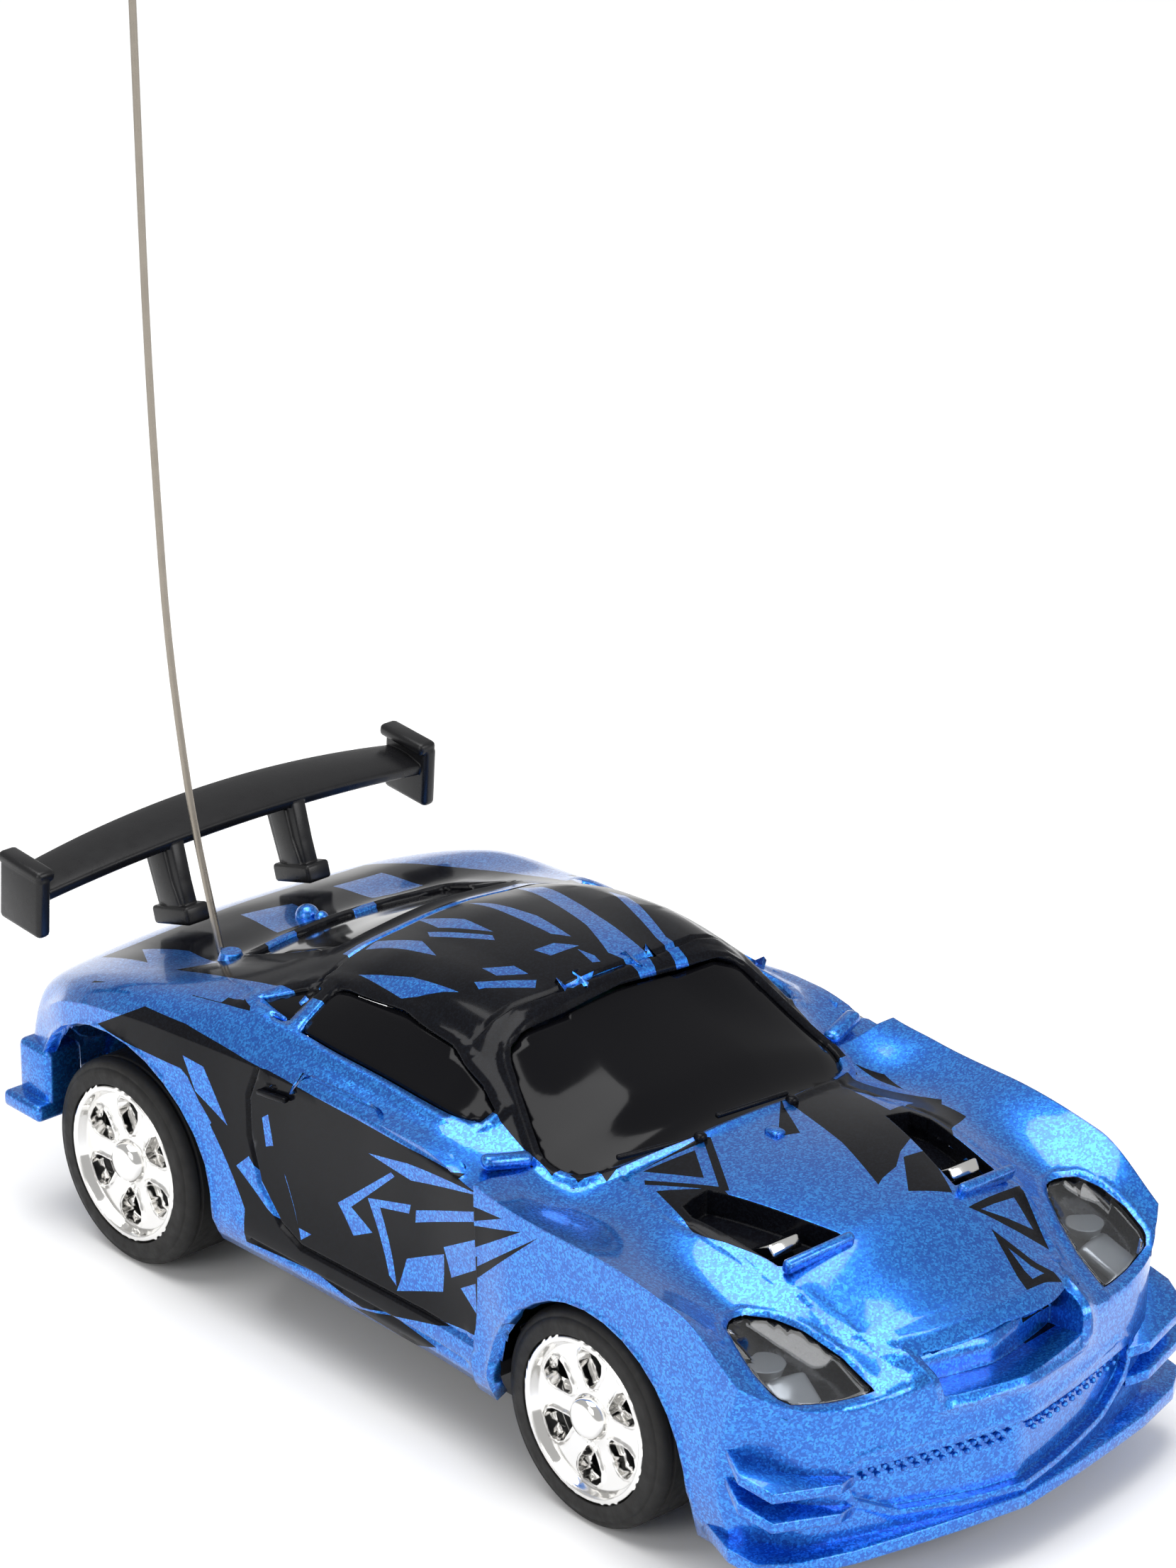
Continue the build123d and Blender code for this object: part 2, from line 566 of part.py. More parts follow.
with BuildPart() as chassis_pan:
    block((-kingpin_x, kingpin_x), (pan_front_y, pan_mid_y), (ground_clearance, floor_top))
    block((-ear_half_width, ear_half_width), (fore(-3.0), fore(3.0)), (ground_clearance, floor_top))
    block((-mid_pan_half, mid_pan_half), (pan_mid_y, pan_narrow_y), (ground_clearance, floor_top))
    block((-rear_pan_half, rear_pan_half), (pan_narrow_y, pan_rear_y), (ground_clearance, floor_top))
    for side in sides.values():
        outer, inner = side * mid_pan_half, side * (mid_pan_half - pan_wall)
        block((min(outer, inner), max(outer, inner)), (pan_mid_y, pan_narrow_y), (floor_top, floor_top + 3.2))
        inner = side * (trough_half - trough_wall)
        block((min(outer, inner), max(outer, inner)), (pan_mid_y, pan_narrow_y), (floor_top, shelf_top))
        outer, inner = side * rear_pan_half, side * cheek_x
        cheek_span = (min(outer, inner), max(outer, inner))
        block(cheek_span, (cheek_front_y, cheek_front_y + cheek_post_length), (floor_top, clamp_z))
        block(cheek_span, (cheek_front_y, aft(4.0)), (floor_top, axle_z + 3.2))
    z_cylinder(kingpin_radius + 1.0, floor_top, floor_top + 1.2, kingpins)
    z_cylinder(post_radius, floor_top, cover_z, both(*cover_post))
    z_cylinder(board_post_radius, floor_top, board_height, both(*board_post))
    z_cylinder(boss_radius + 0.3, floor_top, floor_top + pad_height, body_screw_places)
    # the floor steps up to a shelf above the sills, so only the middle trough hangs low
    for side in sides.values():
        shelf = sorted((side * trough_half, side * (mid_pan_half + 0.1)))
        block(shelf, (pan_mid_y, pan_narrow_y), (0, shelf_bottom), Mode.SUBTRACT)
    for x in (-battery_rib_x, battery_rib_x):
        block((x - 0.5, x + 0.5), (battery_y - 5.5, battery_y + 5.3), (floor_top, floor_top + 3.0))
    x_cylinder(battery_radius, -battery_rib_x - 2, battery_rib_x + 2, battery_y, battery_z, Mode.SUBTRACT)
    for x in motor_rib_x:
        block((x - 0.5, x + 0.5), (motor_y - motor_radius, motor_y + 2.6), (floor_top, floor_top + 2.6))
    x_cylinder(motor_radius, motor_rib_x[0] - 1, motor_rib_x[1] + 1, motor_y, motor_z, Mode.SUBTRACT)
    x_cylinder(bush_radius, -rear_pan_half - 1, rear_pan_half + 1, rear_axle_y, axle_z, Mode.SUBTRACT)
    z_cylinder(kingpin_radius + running_clearance, 0, floor_top + 2, kingpins, Mode.SUBTRACT)
    z_cylinder(screw_radius, floor_top + 3, cover_z + 1, both(*cover_post), Mode.SUBTRACT)
    z_cylinder(screw_radius, board_height - 4, board_height + 1, both(*board_post), Mode.SUBTRACT)
    z_cylinder(screw_radius, clamp_z - 4, clamp_z + 1, both(clamp_screw_x, clamp_screw_y), Mode.SUBTRACT)
    z_cylinder(screw_radius, 0, floor_top + 2, body_screw_places, Mode.SUBTRACT)
    z_cylinder(screw_head_radius + 0.1, 0, ground_clearance + counterbore_depth, body_screw_places,
               Mode.SUBTRACT)
    z_cylinder(trim_stub_radius + running_clearance, 0, floor_top + 1, [(0, trim_y)], Mode.SUBTRACT)
    z_cylinder(socket_outer_radius, 0, floor_top + 1, [socket_place], Mode.SUBTRACT)
    slot_half = (switch_travel + knob_size[1]) / 2 + 0.15
    block((switch_place[0] - knob_size[0] / 2 - 0.15, switch_place[0] + knob_size[0] / 2 + 0.15),
          (switch_place[1] - slot_half, switch_place[1] + slot_half), (0, floor_top + 1), Mode.SUBTRACT)
    block((gear_x - 0.4, gear_x + gear_width + 0.4), (aft(-2.8), aft(2.8)), (0, floor_top + 0.5),
          Mode.SUBTRACT)
place("chassis_pan", chassis_pan.part)

# ---------------------------------------------------------------- front axle
knuckle_low = floor_top + 1.3
knuckle_top = cover_z - 0.15
arm_top = 9.4
arm_thickness = 1.0
rod_bottom = arm_top + 0.1
rod_thickness = 0.9
hub_inner_x = front_tyre_inner_x + 0.4
stub_end_x = wheel_face_x - 1.25

with BuildPart() as front_cover:
    block((-ear_half_width, ear_half_width), (fore(-2.2), fore(2.2)), (cover_z, cover_z + cover_thickness))
    block((-kingpin_x - 0.2, kingpin_x + 0.2), (fore(-2.2), fore(5.2)), (cover_z, cover_z + cover_thickness))
    block((-1.0, 1.0), (fore(-2.2), fore(-1.0)), (lever_z + lever_thickness + 0.1, cover_z))
    z_cylinder(kingpin_radius + running_clearance, cover_z - 1, cover_z + 2, kingpins, Mode.SUBTRACT)
    z_cylinder(screw_radius, cover_z - 1, cover_z + 2, both(*cover_post), Mode.SUBTRACT)
place("front_cover", front_cover.part)

for name, side in sides.items():
    with BuildPart() as knuckle:
        z_cylinder(knuckle_radius, knuckle_low, knuckle_top, [(side * kingpin_x, front_axle_y)])
        z_cylinder(kingpin_radius, ground_clearance + 0.1, cover_z + cover_thickness,
                   [(side * kingpin_x, front_axle_y)])
        x_cylinder(1.5, side * kingpin_x, side * (hub_inner_x - 0.25), front_axle_y, axle_z)
        with BuildSketch(Plane.XY.offset(arm_top - arm_thickness)):
            with Locations((side * kingpin_x, front_axle_y + arm_length / 2)):
                Rectangle(1.8, arm_length)
            with Locations((side * kingpin_x, tie_rod_y)):
                Circle(0.9)
        extrude(amount=arm_thickness)
        z_cylinder(arm_pin_radius, arm_top, rod_bottom + rod_thickness + 0.3, [(side * kingpin_x, tie_rod_y)])
        x_cylinder(axle_radius, side * (kingpin_x - 0.8), side * hub_inner_x, front_axle_y, axle_z,
                   Mode.SUBTRACT)
    place(f"knuckle_{name}", knuckle.part)

    with BuildPart() as stub_axle:
        x_cylinder(axle_radius, side * (kingpin_x - 0.8), side * stub_end_x, front_axle_y, axle_z)
        x_cylinder(axle_radius + 0.2, side * (stub_end_x - 0.5), side * stub_end_x, front_axle_y, axle_z)
    place(f"stub_axle_{name}", stub_axle.part)

slot_pad = 1.4
with BuildPart() as tie_rod:
    block((-kingpin_x - slot_pad, kingpin_x + slot_pad), (tie_rod_y - 0.8, tie_rod_y + 0.8),
          (rod_bottom, rod_bottom + rod_thickness))
    for side in sides.values():
        block((side * kingpin_x - slot_pad, side * kingpin_x + slot_pad), (tie_rod_y - 1.4, tie_rod_y + 1.2),
              (rod_bottom, rod_bottom + rod_thickness))
        reach = arm_pin_radius + arm_pin_clearance
        block((side * kingpin_x - reach, side * kingpin_x + reach),
              (tie_rod_y - reach - 0.25, tie_rod_y + reach), (rod_bottom - 1, rod_bottom + 3), Mode.SUBTRACT)
    block((-magnet_length / 2, magnet_length / 2), (tie_rod_y - 0.8, tie_rod_y + 0.8), (magnet_z + 1.2, rod_bottom))
    x_cylinder(magnet_radius, -magnet_length, magnet_length, tie_rod_y, magnet_z, Mode.SUBTRACT)
place("tie_rod", tie_rod.part)

with BuildPart() as steering_magnet:
    x_cylinder(magnet_radius, -magnet_length / 2, magnet_length / 2, tie_rod_y, magnet_z)
place("steering_magnet", steering_magnet.part)

bobbin_core_radius = 1.1
bobbin_flange = 0.3
coil_outer_x = coil_gap + coil_length
with BuildPart() as coil_bobbins:
    for side in sides.values():
        x_cylinder(bobbin_core_radius, side * coil_gap, side * coil_outer_x, tie_rod_y, magnet_z)
        for start in (coil_gap - bobbin_flange, coil_outer_x):
            x_cylinder(coil_radius + 0.15, side * start, side * (start + bobbin_flange), tie_rod_y, magnet_z)
            ends = sorted((side * start, side * (start + bobbin_flange)))
            block(ends, (tie_rod_y - 1.2, tie_rod_y + 1.2), (floor_top, magnet_z - 1.2))
        ends = sorted((side * (coil_gap - bobbin_flange), side * (coil_outer_x + bobbin_flange)))
        block(ends, (tie_rod_y - 1.2, tie_rod_y + 1.2), (floor_top, floor_top + 0.6))
place("coil_bobbins", coil_bobbins.part)

with BuildPart() as steering_coils:
    for side in sides.values():
        x_cylinder(coil_radius, side * coil_gap, side * coil_outer_x, tie_rod_y, magnet_z)
        x_cylinder(bobbin_core_radius, side * coil_gap, side * coil_outer_x, tie_rod_y, magnet_z, Mode.SUBTRACT)
place("steering_coils", steering_coils.part)

with BuildPart() as trim_lever:
    z_cylinder(trim_stub_radius, ground_clearance - 0.3, lever_z, [(0, trim_y)])
    z_cylinder(trim_stub_radius + 0.5, lever_z, lever_z + lever_thickness, [(0, trim_y)])
    block((-0.9, 0.9), (trim_y, trim_y + trim_length), (lever_z, lever_z + lever_thickness))
    block((-0.25, 0.25), (trim_y - 2, trim_y + 2), (0, ground_clearance + 0.1), Mode.SUBTRACT)
place("trim_lever", trim_lever.part)

plate_y = trim_y + trim_length - 2.3
with BuildPart() as centring_plate:
    block((-0.9, 0.9), (plate_y, plate_y + 2.2), (lever_z + lever_thickness, lever_z + lever_thickness + 0.3))
place("centring_plate", centring_plate.part)

# ---------------------------------------------------------------- wheels
seat_radius = rim_radius - 0.5
spoke_count = 6
spoke_window = [(2.4, -0.65), (4.15, -1.25), (4.15, 1.25), (2.4, 0.65)]


def revolve_about_axle(profile, axle_y, side):
    """Turn a profile of (x, radius) points about the wheel's axis."""
    points = [(side * x, axle_z + radius) for x, radius in profile]
    with BuildSketch(section_plane(axle_y)) as half_profile:
        Polygon(*points, align=None)
    revolve(half_profile.sketch, axis=Axis((0, axle_y, axle_z), (1, 0, 0)))


def wheel(place_name, name, side, axle_y, width, driven):
    """Plated rim with six openings, and its tyre."""
    face, inner = wheel_face_x, wheel_face_x - width
    barrel = seat_radius - rim_wall
    with BuildPart() as rim:
        revolve_about_axle([(inner, barrel), (inner, seat_radius + 0.4), (inner + 0.5, seat_radius + 0.4),
                            (inner + 0.5, seat_radius), (face - 0.7, seat_radius), (face - 0.7, rim_radius),
                            (face, rim_radius), (face, rim_radius - 0.4), (face - 0.9, barrel)],
                           axle_y, side)
        x_cylinder(barrel + 0.1, side * (face - 2.0), side * (face - 1.0), axle_y, axle_z)
        with BuildSketch(Plane.YZ.offset(side * (face - 2.5))):
            with Locations((axle_y, axle_z)):
                with PolarLocations(0, spoke_count):
                    Polygon(*spoke_window, align=None)
        extrude(amount=side * 2.0, mode=Mode.SUBTRACT)
        x_cylinder(hub_radius, side * (inner + 0.4), side * (face - 0.5), axle_y, axle_z)
        if driven:
            x_cylinder(axle_radius, side * inner, side * (face - 1.3), axle_y, axle_z, Mode.SUBTRACT)
        else:
            x_cylinder(axle_radius + running_clearance, side * inner, side * (stub_end_x - 0.3), axle_y, axle_z,
                       Mode.SUBTRACT)
            x_cylinder(axle_radius + 0.4, side * (stub_end_x - 0.7), side * (stub_end_x + 0.15), axle_y, axle_z,
                       Mode.SUBTRACT)
    place(f"{place_name}_rim_{name}", rim.part)
    with BuildPart() as tyre:
        revolve_about_axle([(inner + 0.5, seat_radius), (face - 0.7, seat_radius), (face - 0.7, rim_radius),
                            (face, rim_radius), (face, tyre_radius - 0.8), (face - 0.6, tyre_radius),
                            (inner + 0.6, tyre_radius), (inner, tyre_radius - 0.8), (inner, seat_radius + 0.4),
                            (inner + 0.5, seat_radius + 0.4)], axle_y, side)
    place(f"{place_name}_tyre_{name}", tyre.part)


for name, side in sides.items():
    wheel("front", name, side, front_axle_y, front_tyre_width, False)
    wheel("rear", name, side, rear_axle_y, rear_tyre_width, True)

# ---------------------------------------------------------------- drive
bush_length = 2.2


def involute(angle):
    return tan(angle) - angle


def gear_outline(teeth, first_tooth):
    """Points of a spur gear with short, stout teeth; the first tooth is centred on an angle."""
    pitch = gear_module * teeth / 2
    base = pitch * cos(pressure_angle)
    outer = pitch + 0.8 * gear_module
    root = pitch - 1.05 * gear_module
    half_tooth = pi / (2 * teeth) - gear_backlash / (2 * pitch)
    flank = []
    steps = 5
    start = max(base, root)
    for step in range(steps + 1):
        radius = start + (outer - start) * step / steps
        half = half_tooth + involute(pressure_angle) - involute(acos(min(1, base / radius)))
        flank.append((radius, half))
    points = []
    for tooth in range(teeth):
        centre = first_tooth + 2 * pi * tooth / teeth
        sides_of_tooth = [(root, -flank[0][1])] + [(radius, -half) for radius, half in flank]
        sides_of_tooth += [(radius, half) for radius, half in reversed(flank)] + [(root, flank[0][1])]
        for radius, angle in sides_of_tooth:
            point = (radius * cos(centre + angle), radius * sin(centre + angle))
            if not points or hypot(point[0] - points[-1][0], point[1] - points[-1][1]) > 1e-4:
                points.append(point)
    return points


def gear_blank(teeth, first_tooth, x_from, width, y, z):
    with BuildSketch(Plane.YZ.offset(x_from)) as teeth_profile:
        Polygon(*[(y + a, z + b) for a, b in gear_outline(teeth, first_tooth)], align=None)
    extrude(teeth_profile.sketch, amount=width)


with BuildPart() as rear_axle:
    x_cylinder(axle_radius, -(wheel_face_x - 1.3), wheel_face_x - 1.3, rear_axle_y, axle_z)
place("rear_axle", rear_axle.part)

with BuildPart() as axle_gear:
    gear_blank(axle_gear_teeth, pi - motor_lift, gear_x, gear_width, rear_axle_y, axle_z)
    x_cylinder(2.0, gear_x + gear_width, gear_x + gear_width + 1.5, rear_axle_y, axle_z)
    x_cylinder(axle_radius, gear_x - 1, gear_x + gear_width + 3, rear_axle_y, axle_z, Mode.SUBTRACT)
place("axle_gear", axle_gear.part)

with BuildPart() as axle_bushes:
    for side in sides.values():
        middle = side * (cheek_x + rear_pan_half) / 2
        x_cylinder(bush_radius, middle - bush_length / 2, middle + bush_length / 2, rear_axle_y, axle_z)
        x_cylinder(axle_radius + running_clearance, middle - bush_length, middle + bush_length, rear_axle_y,
                   axle_z, Mode.SUBTRACT)
place("axle_bushes", axle_bushes.part)

shaft_hole = motor_shaft_radius + running_clearance
with BuildPart() as motor_can:
    x_cylinder(motor_radius, motor_front_x, motor_rear_x, motor_y, motor_z)
    x_cylinder(1.4, motor_front_x - 0.6, motor_front_x, motor_y, motor_z)
    x_cylinder(motor_radius - motor_wall, motor_front_x + motor_wall, motor_rear_x, motor_y, motor_z,
               Mode.SUBTRACT)
    x_cylinder(shaft_hole, motor_front_x - 1, motor_rear_x, motor_y, motor_z, Mode.SUBTRACT)
place("motor_can", motor_can.part)

with BuildPart() as motor_magnets:
    x_cylinder(motor_radius - motor_wall, motor_front_x + 1.4, motor_rear_x - 2.0, motor_y, motor_z)
    x_cylinder(motor_radius - 0.75, motor_front_x, motor_rear_x, motor_y, motor_z, Mode.SUBTRACT)
    block((motor_front_x, motor_rear_x), (motor_y - 1.2, motor_y + 1.2), (0, 2 * motor_z), Mode.SUBTRACT)
place("motor_magnets", motor_magnets.part)

end_bell_length = 1.6
with BuildPart() as motor_end_bell:
    x_cylinder(motor_radius, motor_rear_x, motor_rear_x + end_bell_length, motor_y, motor_z)
    x_cylinder(motor_radius - motor_wall, motor_rear_x - 0.5, motor_rear_x, motor_y, motor_z)
    x_cylinder(shaft_hole, motor_rear_x - 1, motor_rear_x + 3, motor_y, motor_z, Mode.SUBTRACT)
place("motor_end_bell", motor_end_bell.part)

with BuildPart() as motor_shaft:
    x_cylinder(motor_shaft_radius, gear_x - 0.3, motor_rear_x + end_bell_length - 0.3, motor_y, motor_z)
place("motor_shaft", motor_shaft.part)

with BuildPart() as motor_rotor:
    x_cylinder(motor_radius - 1.1, motor_front_x + 1.8, motor_rear_x - 2.4, motor_y, motor_z)
    x_cylinder(1.0, motor_rear_x - 2.4, motor_rear_x - 0.8, motor_y, motor_z)
    x_cylinder(motor_shaft_radius, motor_front_x, motor_rear_x, motor_y, motor_z, Mode.SUBTRACT)
place("motor_rotor", motor_rotor.part)

with BuildPart() as pinion:
    gear_blank(pinion_teeth, -motor_lift + pi / pinion_teeth, gear_x - 0.2, pinion_width, motor_y, motor_z)
    x_cylinder(motor_shaft_radius, gear_x - 1, gear_x + pinion_width + 1, motor_y, motor_z, Mode.SUBTRACT)
place("pinion", pinion.part)

terminal_x = antenna_x
terminal_y = antenna_y - 0.8
with BuildPart() as motor_clamp:
    block((-rear_pan_half, rear_pan_half), (cheek_front_y, motor_y + 2.4), (clamp_z, clamp_z + clamp_thickness))
    block((-rear_pan_half, terminal_x + 2.0), (motor_y + 2.4, terminal_y + 1.5),
          (clamp_z, clamp_z + clamp_thickness))
    block((-2.0, 3.0), (motor_y - 1.6, motor_y + 1.6), (motor_z + motor_radius - 0.6, clamp_z))
    x_cylinder(motor_radius, -3.0, 4.0, motor_y, motor_z, Mode.SUBTRACT)
    z_cylinder(screw_radius, clamp_z - 1, clamp_z + 2, both(clamp_screw_x, clamp_screw_y), Mode.SUBTRACT)
place("motor_clamp", motor_clamp.part)

# ---------------------------------------------------------------- electrics
board_top = board_height + board_thickness
board_rear_y = board_centre_y + board_length / 2
with BuildPart() as circuit_board:
    block((-board_width / 2, board_width / 2), (board_centre_y - board_length / 2, board_rear_y),
          (board_height, board_top))
    z_cylinder(screw_radius + running_clearance, 0, 2 * board_top, both(*board_post), Mode.SUBTRACT)
place("circuit_board", circuit_board.part)

with BuildPart() as receiver_chip:
    block((-8.0, -3.0), (-2.0, 6.0), (board_top, board_top + 1.5))
place("receiver_chip", receiver_chip.part)

with BuildPart() as driver_chip:
    block((3.5, 7.5), (9.0, 14.0), (board_top, board_top + 1.5))
place("driver_chip", driver_chip.part)

with BuildPart() as crystal_can:
    with BuildSketch(Plane.XY.offset(board_top)):
        with Locations((-6.0, 11.5)):
            SlotOverall(8.0, 3.2)
    extrude(amount=3.4)
place("crystal_can", crystal_can.part)

with BuildPart() as capacitor:
    z_cylinder(2.0, board_top, board_top + 5.0, [(3.0, 1.0)])
place("capacitor", capacitor.part)

with BuildPart() as transistors:
    for x, y in ((8.5, -4.5), (8.5, 0.0), (8.5, 4.5), (4.0, -5.5)):
        block((x - 0.8, x + 0.8), (y - 1.4, y + 1.4), (board_top, board_top + 1.1))
place("transistors", transistors.part)

with BuildPart() as battery_cell:
    x_cylinder(battery_radius, -battery_length / 2, battery_length / 2, battery_y, battery_z)
place("battery_cell", battery_cell.part)

contact_thickness = 0.3
with BuildPart() as battery_contacts:
    for side in sides.values():
        x_cylinder(2.2, side * battery_length / 2, side * (battery_length / 2 + contact_thickness), battery_y,
                   battery_z)
place("battery_contacts", battery_contacts.part)

sx, sy = switch_place
with BuildPart() as switch_housing:
    block((sx - switch_size[0] / 2, sx + switch_size[0] / 2), (sy - switch_size[1] / 2, sy + switch_size[1] / 2),
          (floor_top, floor_top + switch_size[2]))
    block((sx - 1.2, sx + 1.2), (sy - 3.2, sy + 3.2), (floor_top, floor_top + 2.4), Mode.SUBTRACT)
place("switch_housing", switch_housing.part)

with BuildPart() as switch_slider:
    block((sx - 1.1, sx + 1.1), (sy - 3.0, sy + 1.0), (floor_top + 0.1, floor_top + 2.2))
    block((sx - knob_size[0] / 2, sx + knob_size[0] / 2),
          (sy - switch_travel / 2 - knob_size[1] / 2, sy - switch_travel / 2 + knob_size[1] / 2),
          (ground_clearance - 0.7, floor_top + 0.1))
place("switch_slider", switch_slider.part)

cx, cy = socket_place
with BuildPart() as charging_socket:
    block((cx - 2.6, cx + 2.6), (cy - 2.6, cy + 2.6), (floor_top, floor_top + 4.8))
    z_cylinder(socket_outer_radius, ground_clearance, floor_top, [socket_place])
    z_cylinder(socket_radius, 0, floor_top + 3.6, [socket_place], Mode.SUBTRACT)
place("charging_socket", charging_socket.part)

# ---------------------------------------------------------------- antenna and leads
terminal_top = clamp_z + clamp_thickness + 2.8
with BuildPart() as antenna_terminal:
    z_cylinder(1.1, clamp_z + clamp_thickness, terminal_top, [(terminal_x, terminal_y)])
    z_cylinder(antenna_radius, terminal_top - 2.0, terminal_top + 1, [(terminal_x, terminal_y)], Mode.SUBTRACT)
place("antenna_terminal", antenna_terminal.part)

antenna_route = [(0.0, terminal_top - 2.0), (0.0, terminal_top + 0.8), (1.0, deck - 0.6), (4.0, deck + 9.0),
                 (6.1, deck + 21.0), (7.3, deck + 40.0), (7.7, deck + 64.0), (8.2, antenna_height - 1.2)]
bell_radial = (-cos(pi / 4), sin(pi / 4))   # the motor leads leave the end bell forwards and up
bell_lead_x = motor_rear_x + end_bell_length / 2
contact_x = battery_length / 2 + contact_thickness
lead_landing_z = board_top + 1.6


def off_end_bell(distance):
    """A place (y, z) this far from the motor's centre, on the line where its leads leave."""
    return (motor_y + bell_radial[0] * distance, motor_z + bell_radial[1] * distance)


def battery_route(side):
    return [(side * contact_x, battery_y, battery_z + 0.7), (side * (contact_x + 1.2), battery_y, battery_z + 0.7),
            (side * (contact_x + 1.5), battery_y - 1.6, battery_z + 2.6),
            (side * (contact_x + 1.3), battery_y - 3.0, board_height - 1.6),
            (side * (contact_x + 1.3), battery_y - 3.0, board_height)]


def motor_route(start_x, landing_x):
    return [(start_x, *off_end_bell(motor_radius)), (start_x, *off_end_bell(motor_radius + 1.4)),
            ((start_x + landing_x) / 2, board_rear_y + 1.2, board_height + 0.6),
            (landing_x - 0.1, board_rear_y + 0.2, board_top + 1.9),
            (landing_x, board_rear_y - 1.4, lead_landing_z), (landing_x, board_rear_y - 1.4, board_top)]


lead_routes = {
    "motor_lead_red": motor_route(bell_lead_x - 0.4, 6.4),
    "motor_lead_black": motor_route(bell_lead_x + 0.4, 9.2),
    "battery_lead_red": battery_route(1),
    "battery_lead_black": battery_route(-1),
    "antenna_lead": [(terminal_x - 1.1, terminal_y, terminal_top - 1.1),
                     (terminal_x - 2.3, terminal_y, terminal_top - 1.1),
                     (terminal_x - 3.9, terminal_y - 2.9, terminal_top),
                     (terminal_x - 4.0, terminal_y - 6.4, terminal_top + 1.0),
                     (terminal_x - 3.2, board_rear_y - 0.8, terminal_top + 1.6),
                     (terminal_x - 2.8, board_rear_y - 1.6, lead_landing_z),
                     (terminal_x - 2.8, board_rear_y - 1.6, board_top)],
}


def tangent_radii(points):
    """For each corner, 0.45 of the shorter run over the tangent of half the turn."""
    radii = []
    for before, corner, after in zip(points, points[1:], points[2:]):
        arriving = Vector(*corner) - Vector(*before)
        leaving = Vector(*after) - Vector(*corner)
        half_turn = radians(arriving.get_angle(leaving)) / 2
        radii.append(0.45 * min(arriving.length, leaving.length) / tan(half_turn))
    return radii


def round_wire(points, radius):
    """A round wire along straight runs joined by tangent arcs."""
    radii = tangent_radii(points)
    with BuildPart() as wire:
        with BuildLine() as route:
            FilletPolyline(*points, radius=radii)
        with BuildSketch(Plane(origin=points[0], z_dir=Vector(*points[1]) - Vector(*points[0]))):
            Circle(radius)
        sweep(path=route.line)
    print("wire of radius", radius, "length", round(route.wire().length, 1), "tightest bend", round(min(radii), 1))
    return wire.part


place("antenna_wire", round_wire([(terminal_x, terminal_y + lean, z) for lean, z in antenna_route],
                                 antenna_radius))
with BuildPart() as antenna_tip:
    tip_y = terminal_y + antenna_route[-1][0]
    z_cylinder(0.6, antenna_height - 1.2, antenna_height, [(terminal_x, tip_y)])
    fillet(antenna_tip.faces().sort_by(Axis.Z)[-1].edges(), 0.4)
place("antenna_tip", antenna_tip.part)

for name, points in lead_routes.items():
    place(name, round_wire(points, wire_radius))

coil_leads = []
for side in sides.values():
    coil_leads.append(round_wire([(side * 4.3, tie_rod_y + coil_radius, magnet_z),
                                  (side * 4.3, tie_rod_y + coil_radius + 1.3, magnet_z),
                                  (side * 4.5, tie_rod_y + 5.2, magnet_z + 2.4),
                                  (side * 4.8, tie_rod_y + 6.6, board_height - 1.8),
                                  (side * 4.8, tie_rod_y + 6.6, board_height)], wire_radius))
with BuildPart() as coil_wires:
    for lead in coil_leads:
        add(lead)
place("coil_wires", coil_wires.part)

# ---------------------------------------------------------------- screws
def screws(places, head_z, length, upwards=False):
    """Cross-recess screws; the head's seat is at head_z and the shank runs away from it."""
    turn = -1 if upwards else 1
    with BuildPart() as group:
        low, high = sorted((head_z, head_z + turn * screw_head_height))
        z_cylinder(screw_head_radius, low, high, places)
        low, high = sorted((head_z, head_z - turn * length))
        z_cylinder(screw_radius, low, high, places)
        outer = head_z + turn * screw_head_height
        for x, y in places:
            for half_x, half_y in ((0.8, 0.15), (0.15, 0.8)):
                low, high = sorted((outer + turn, outer - turn * 0.35))
                block((x - half_x, x + half_x), (y - half_y, y + half_y), (low, high), Mode.SUBTRACT)
    return group.part


place("body_screws", screws(body_screw_places, ground_clearance + counterbore_depth, 4.8, upwards=True))
with BuildPart() as chassis_screws:
    add(screws(both(*cover_post), cover_z + cover_thickness, 3.5))
    add(screws(both(clamp_screw_x, clamp_screw_y), clamp_z + clamp_thickness, 3.5))
    add(screws(both(*board_post), board_top, 3.5))
place("chassis_screws", chassis_screws.part)
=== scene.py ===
import math

import bmesh
import bpy
from mathutils import Matrix, Vector


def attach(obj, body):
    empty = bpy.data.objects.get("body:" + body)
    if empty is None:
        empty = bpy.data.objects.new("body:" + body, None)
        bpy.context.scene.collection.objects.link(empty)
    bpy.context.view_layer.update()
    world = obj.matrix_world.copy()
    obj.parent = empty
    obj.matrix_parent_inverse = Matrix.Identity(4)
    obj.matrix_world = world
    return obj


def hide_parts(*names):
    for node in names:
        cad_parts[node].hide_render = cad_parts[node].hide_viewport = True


# The car's sizes in millimetres. The nose points to -Y and the left side is +X.
car = {
    "halfWidth": 18.3,
    "frontAxle": -19.2,
    "rearAxle": 26.8,
    "axleHeight": 7.2,
    "roof": 26.6,
    "belt": 21.6,
    "hood": 20.4,
    "fender": 19.4,
    "deck": 19.7,
    "sill": 5.5,
    "nose": 3.5,
    "wall": 0.9,
}


def fore(distance):
    return car["frontAxle"] + distance


def aft(distance):
    return car["rearAxle"] + distance


# Half sections from the sill over skirt, side, fender crease, valley, hood or roof edge
# and crown to the centre, as (inset from the fender side, height).
def crownPoints(inset, edge, crown, centre):
    half = car["halfWidth"]
    return [(inset, edge), (half / 2 + inset / 2, crown), (half, centre)]


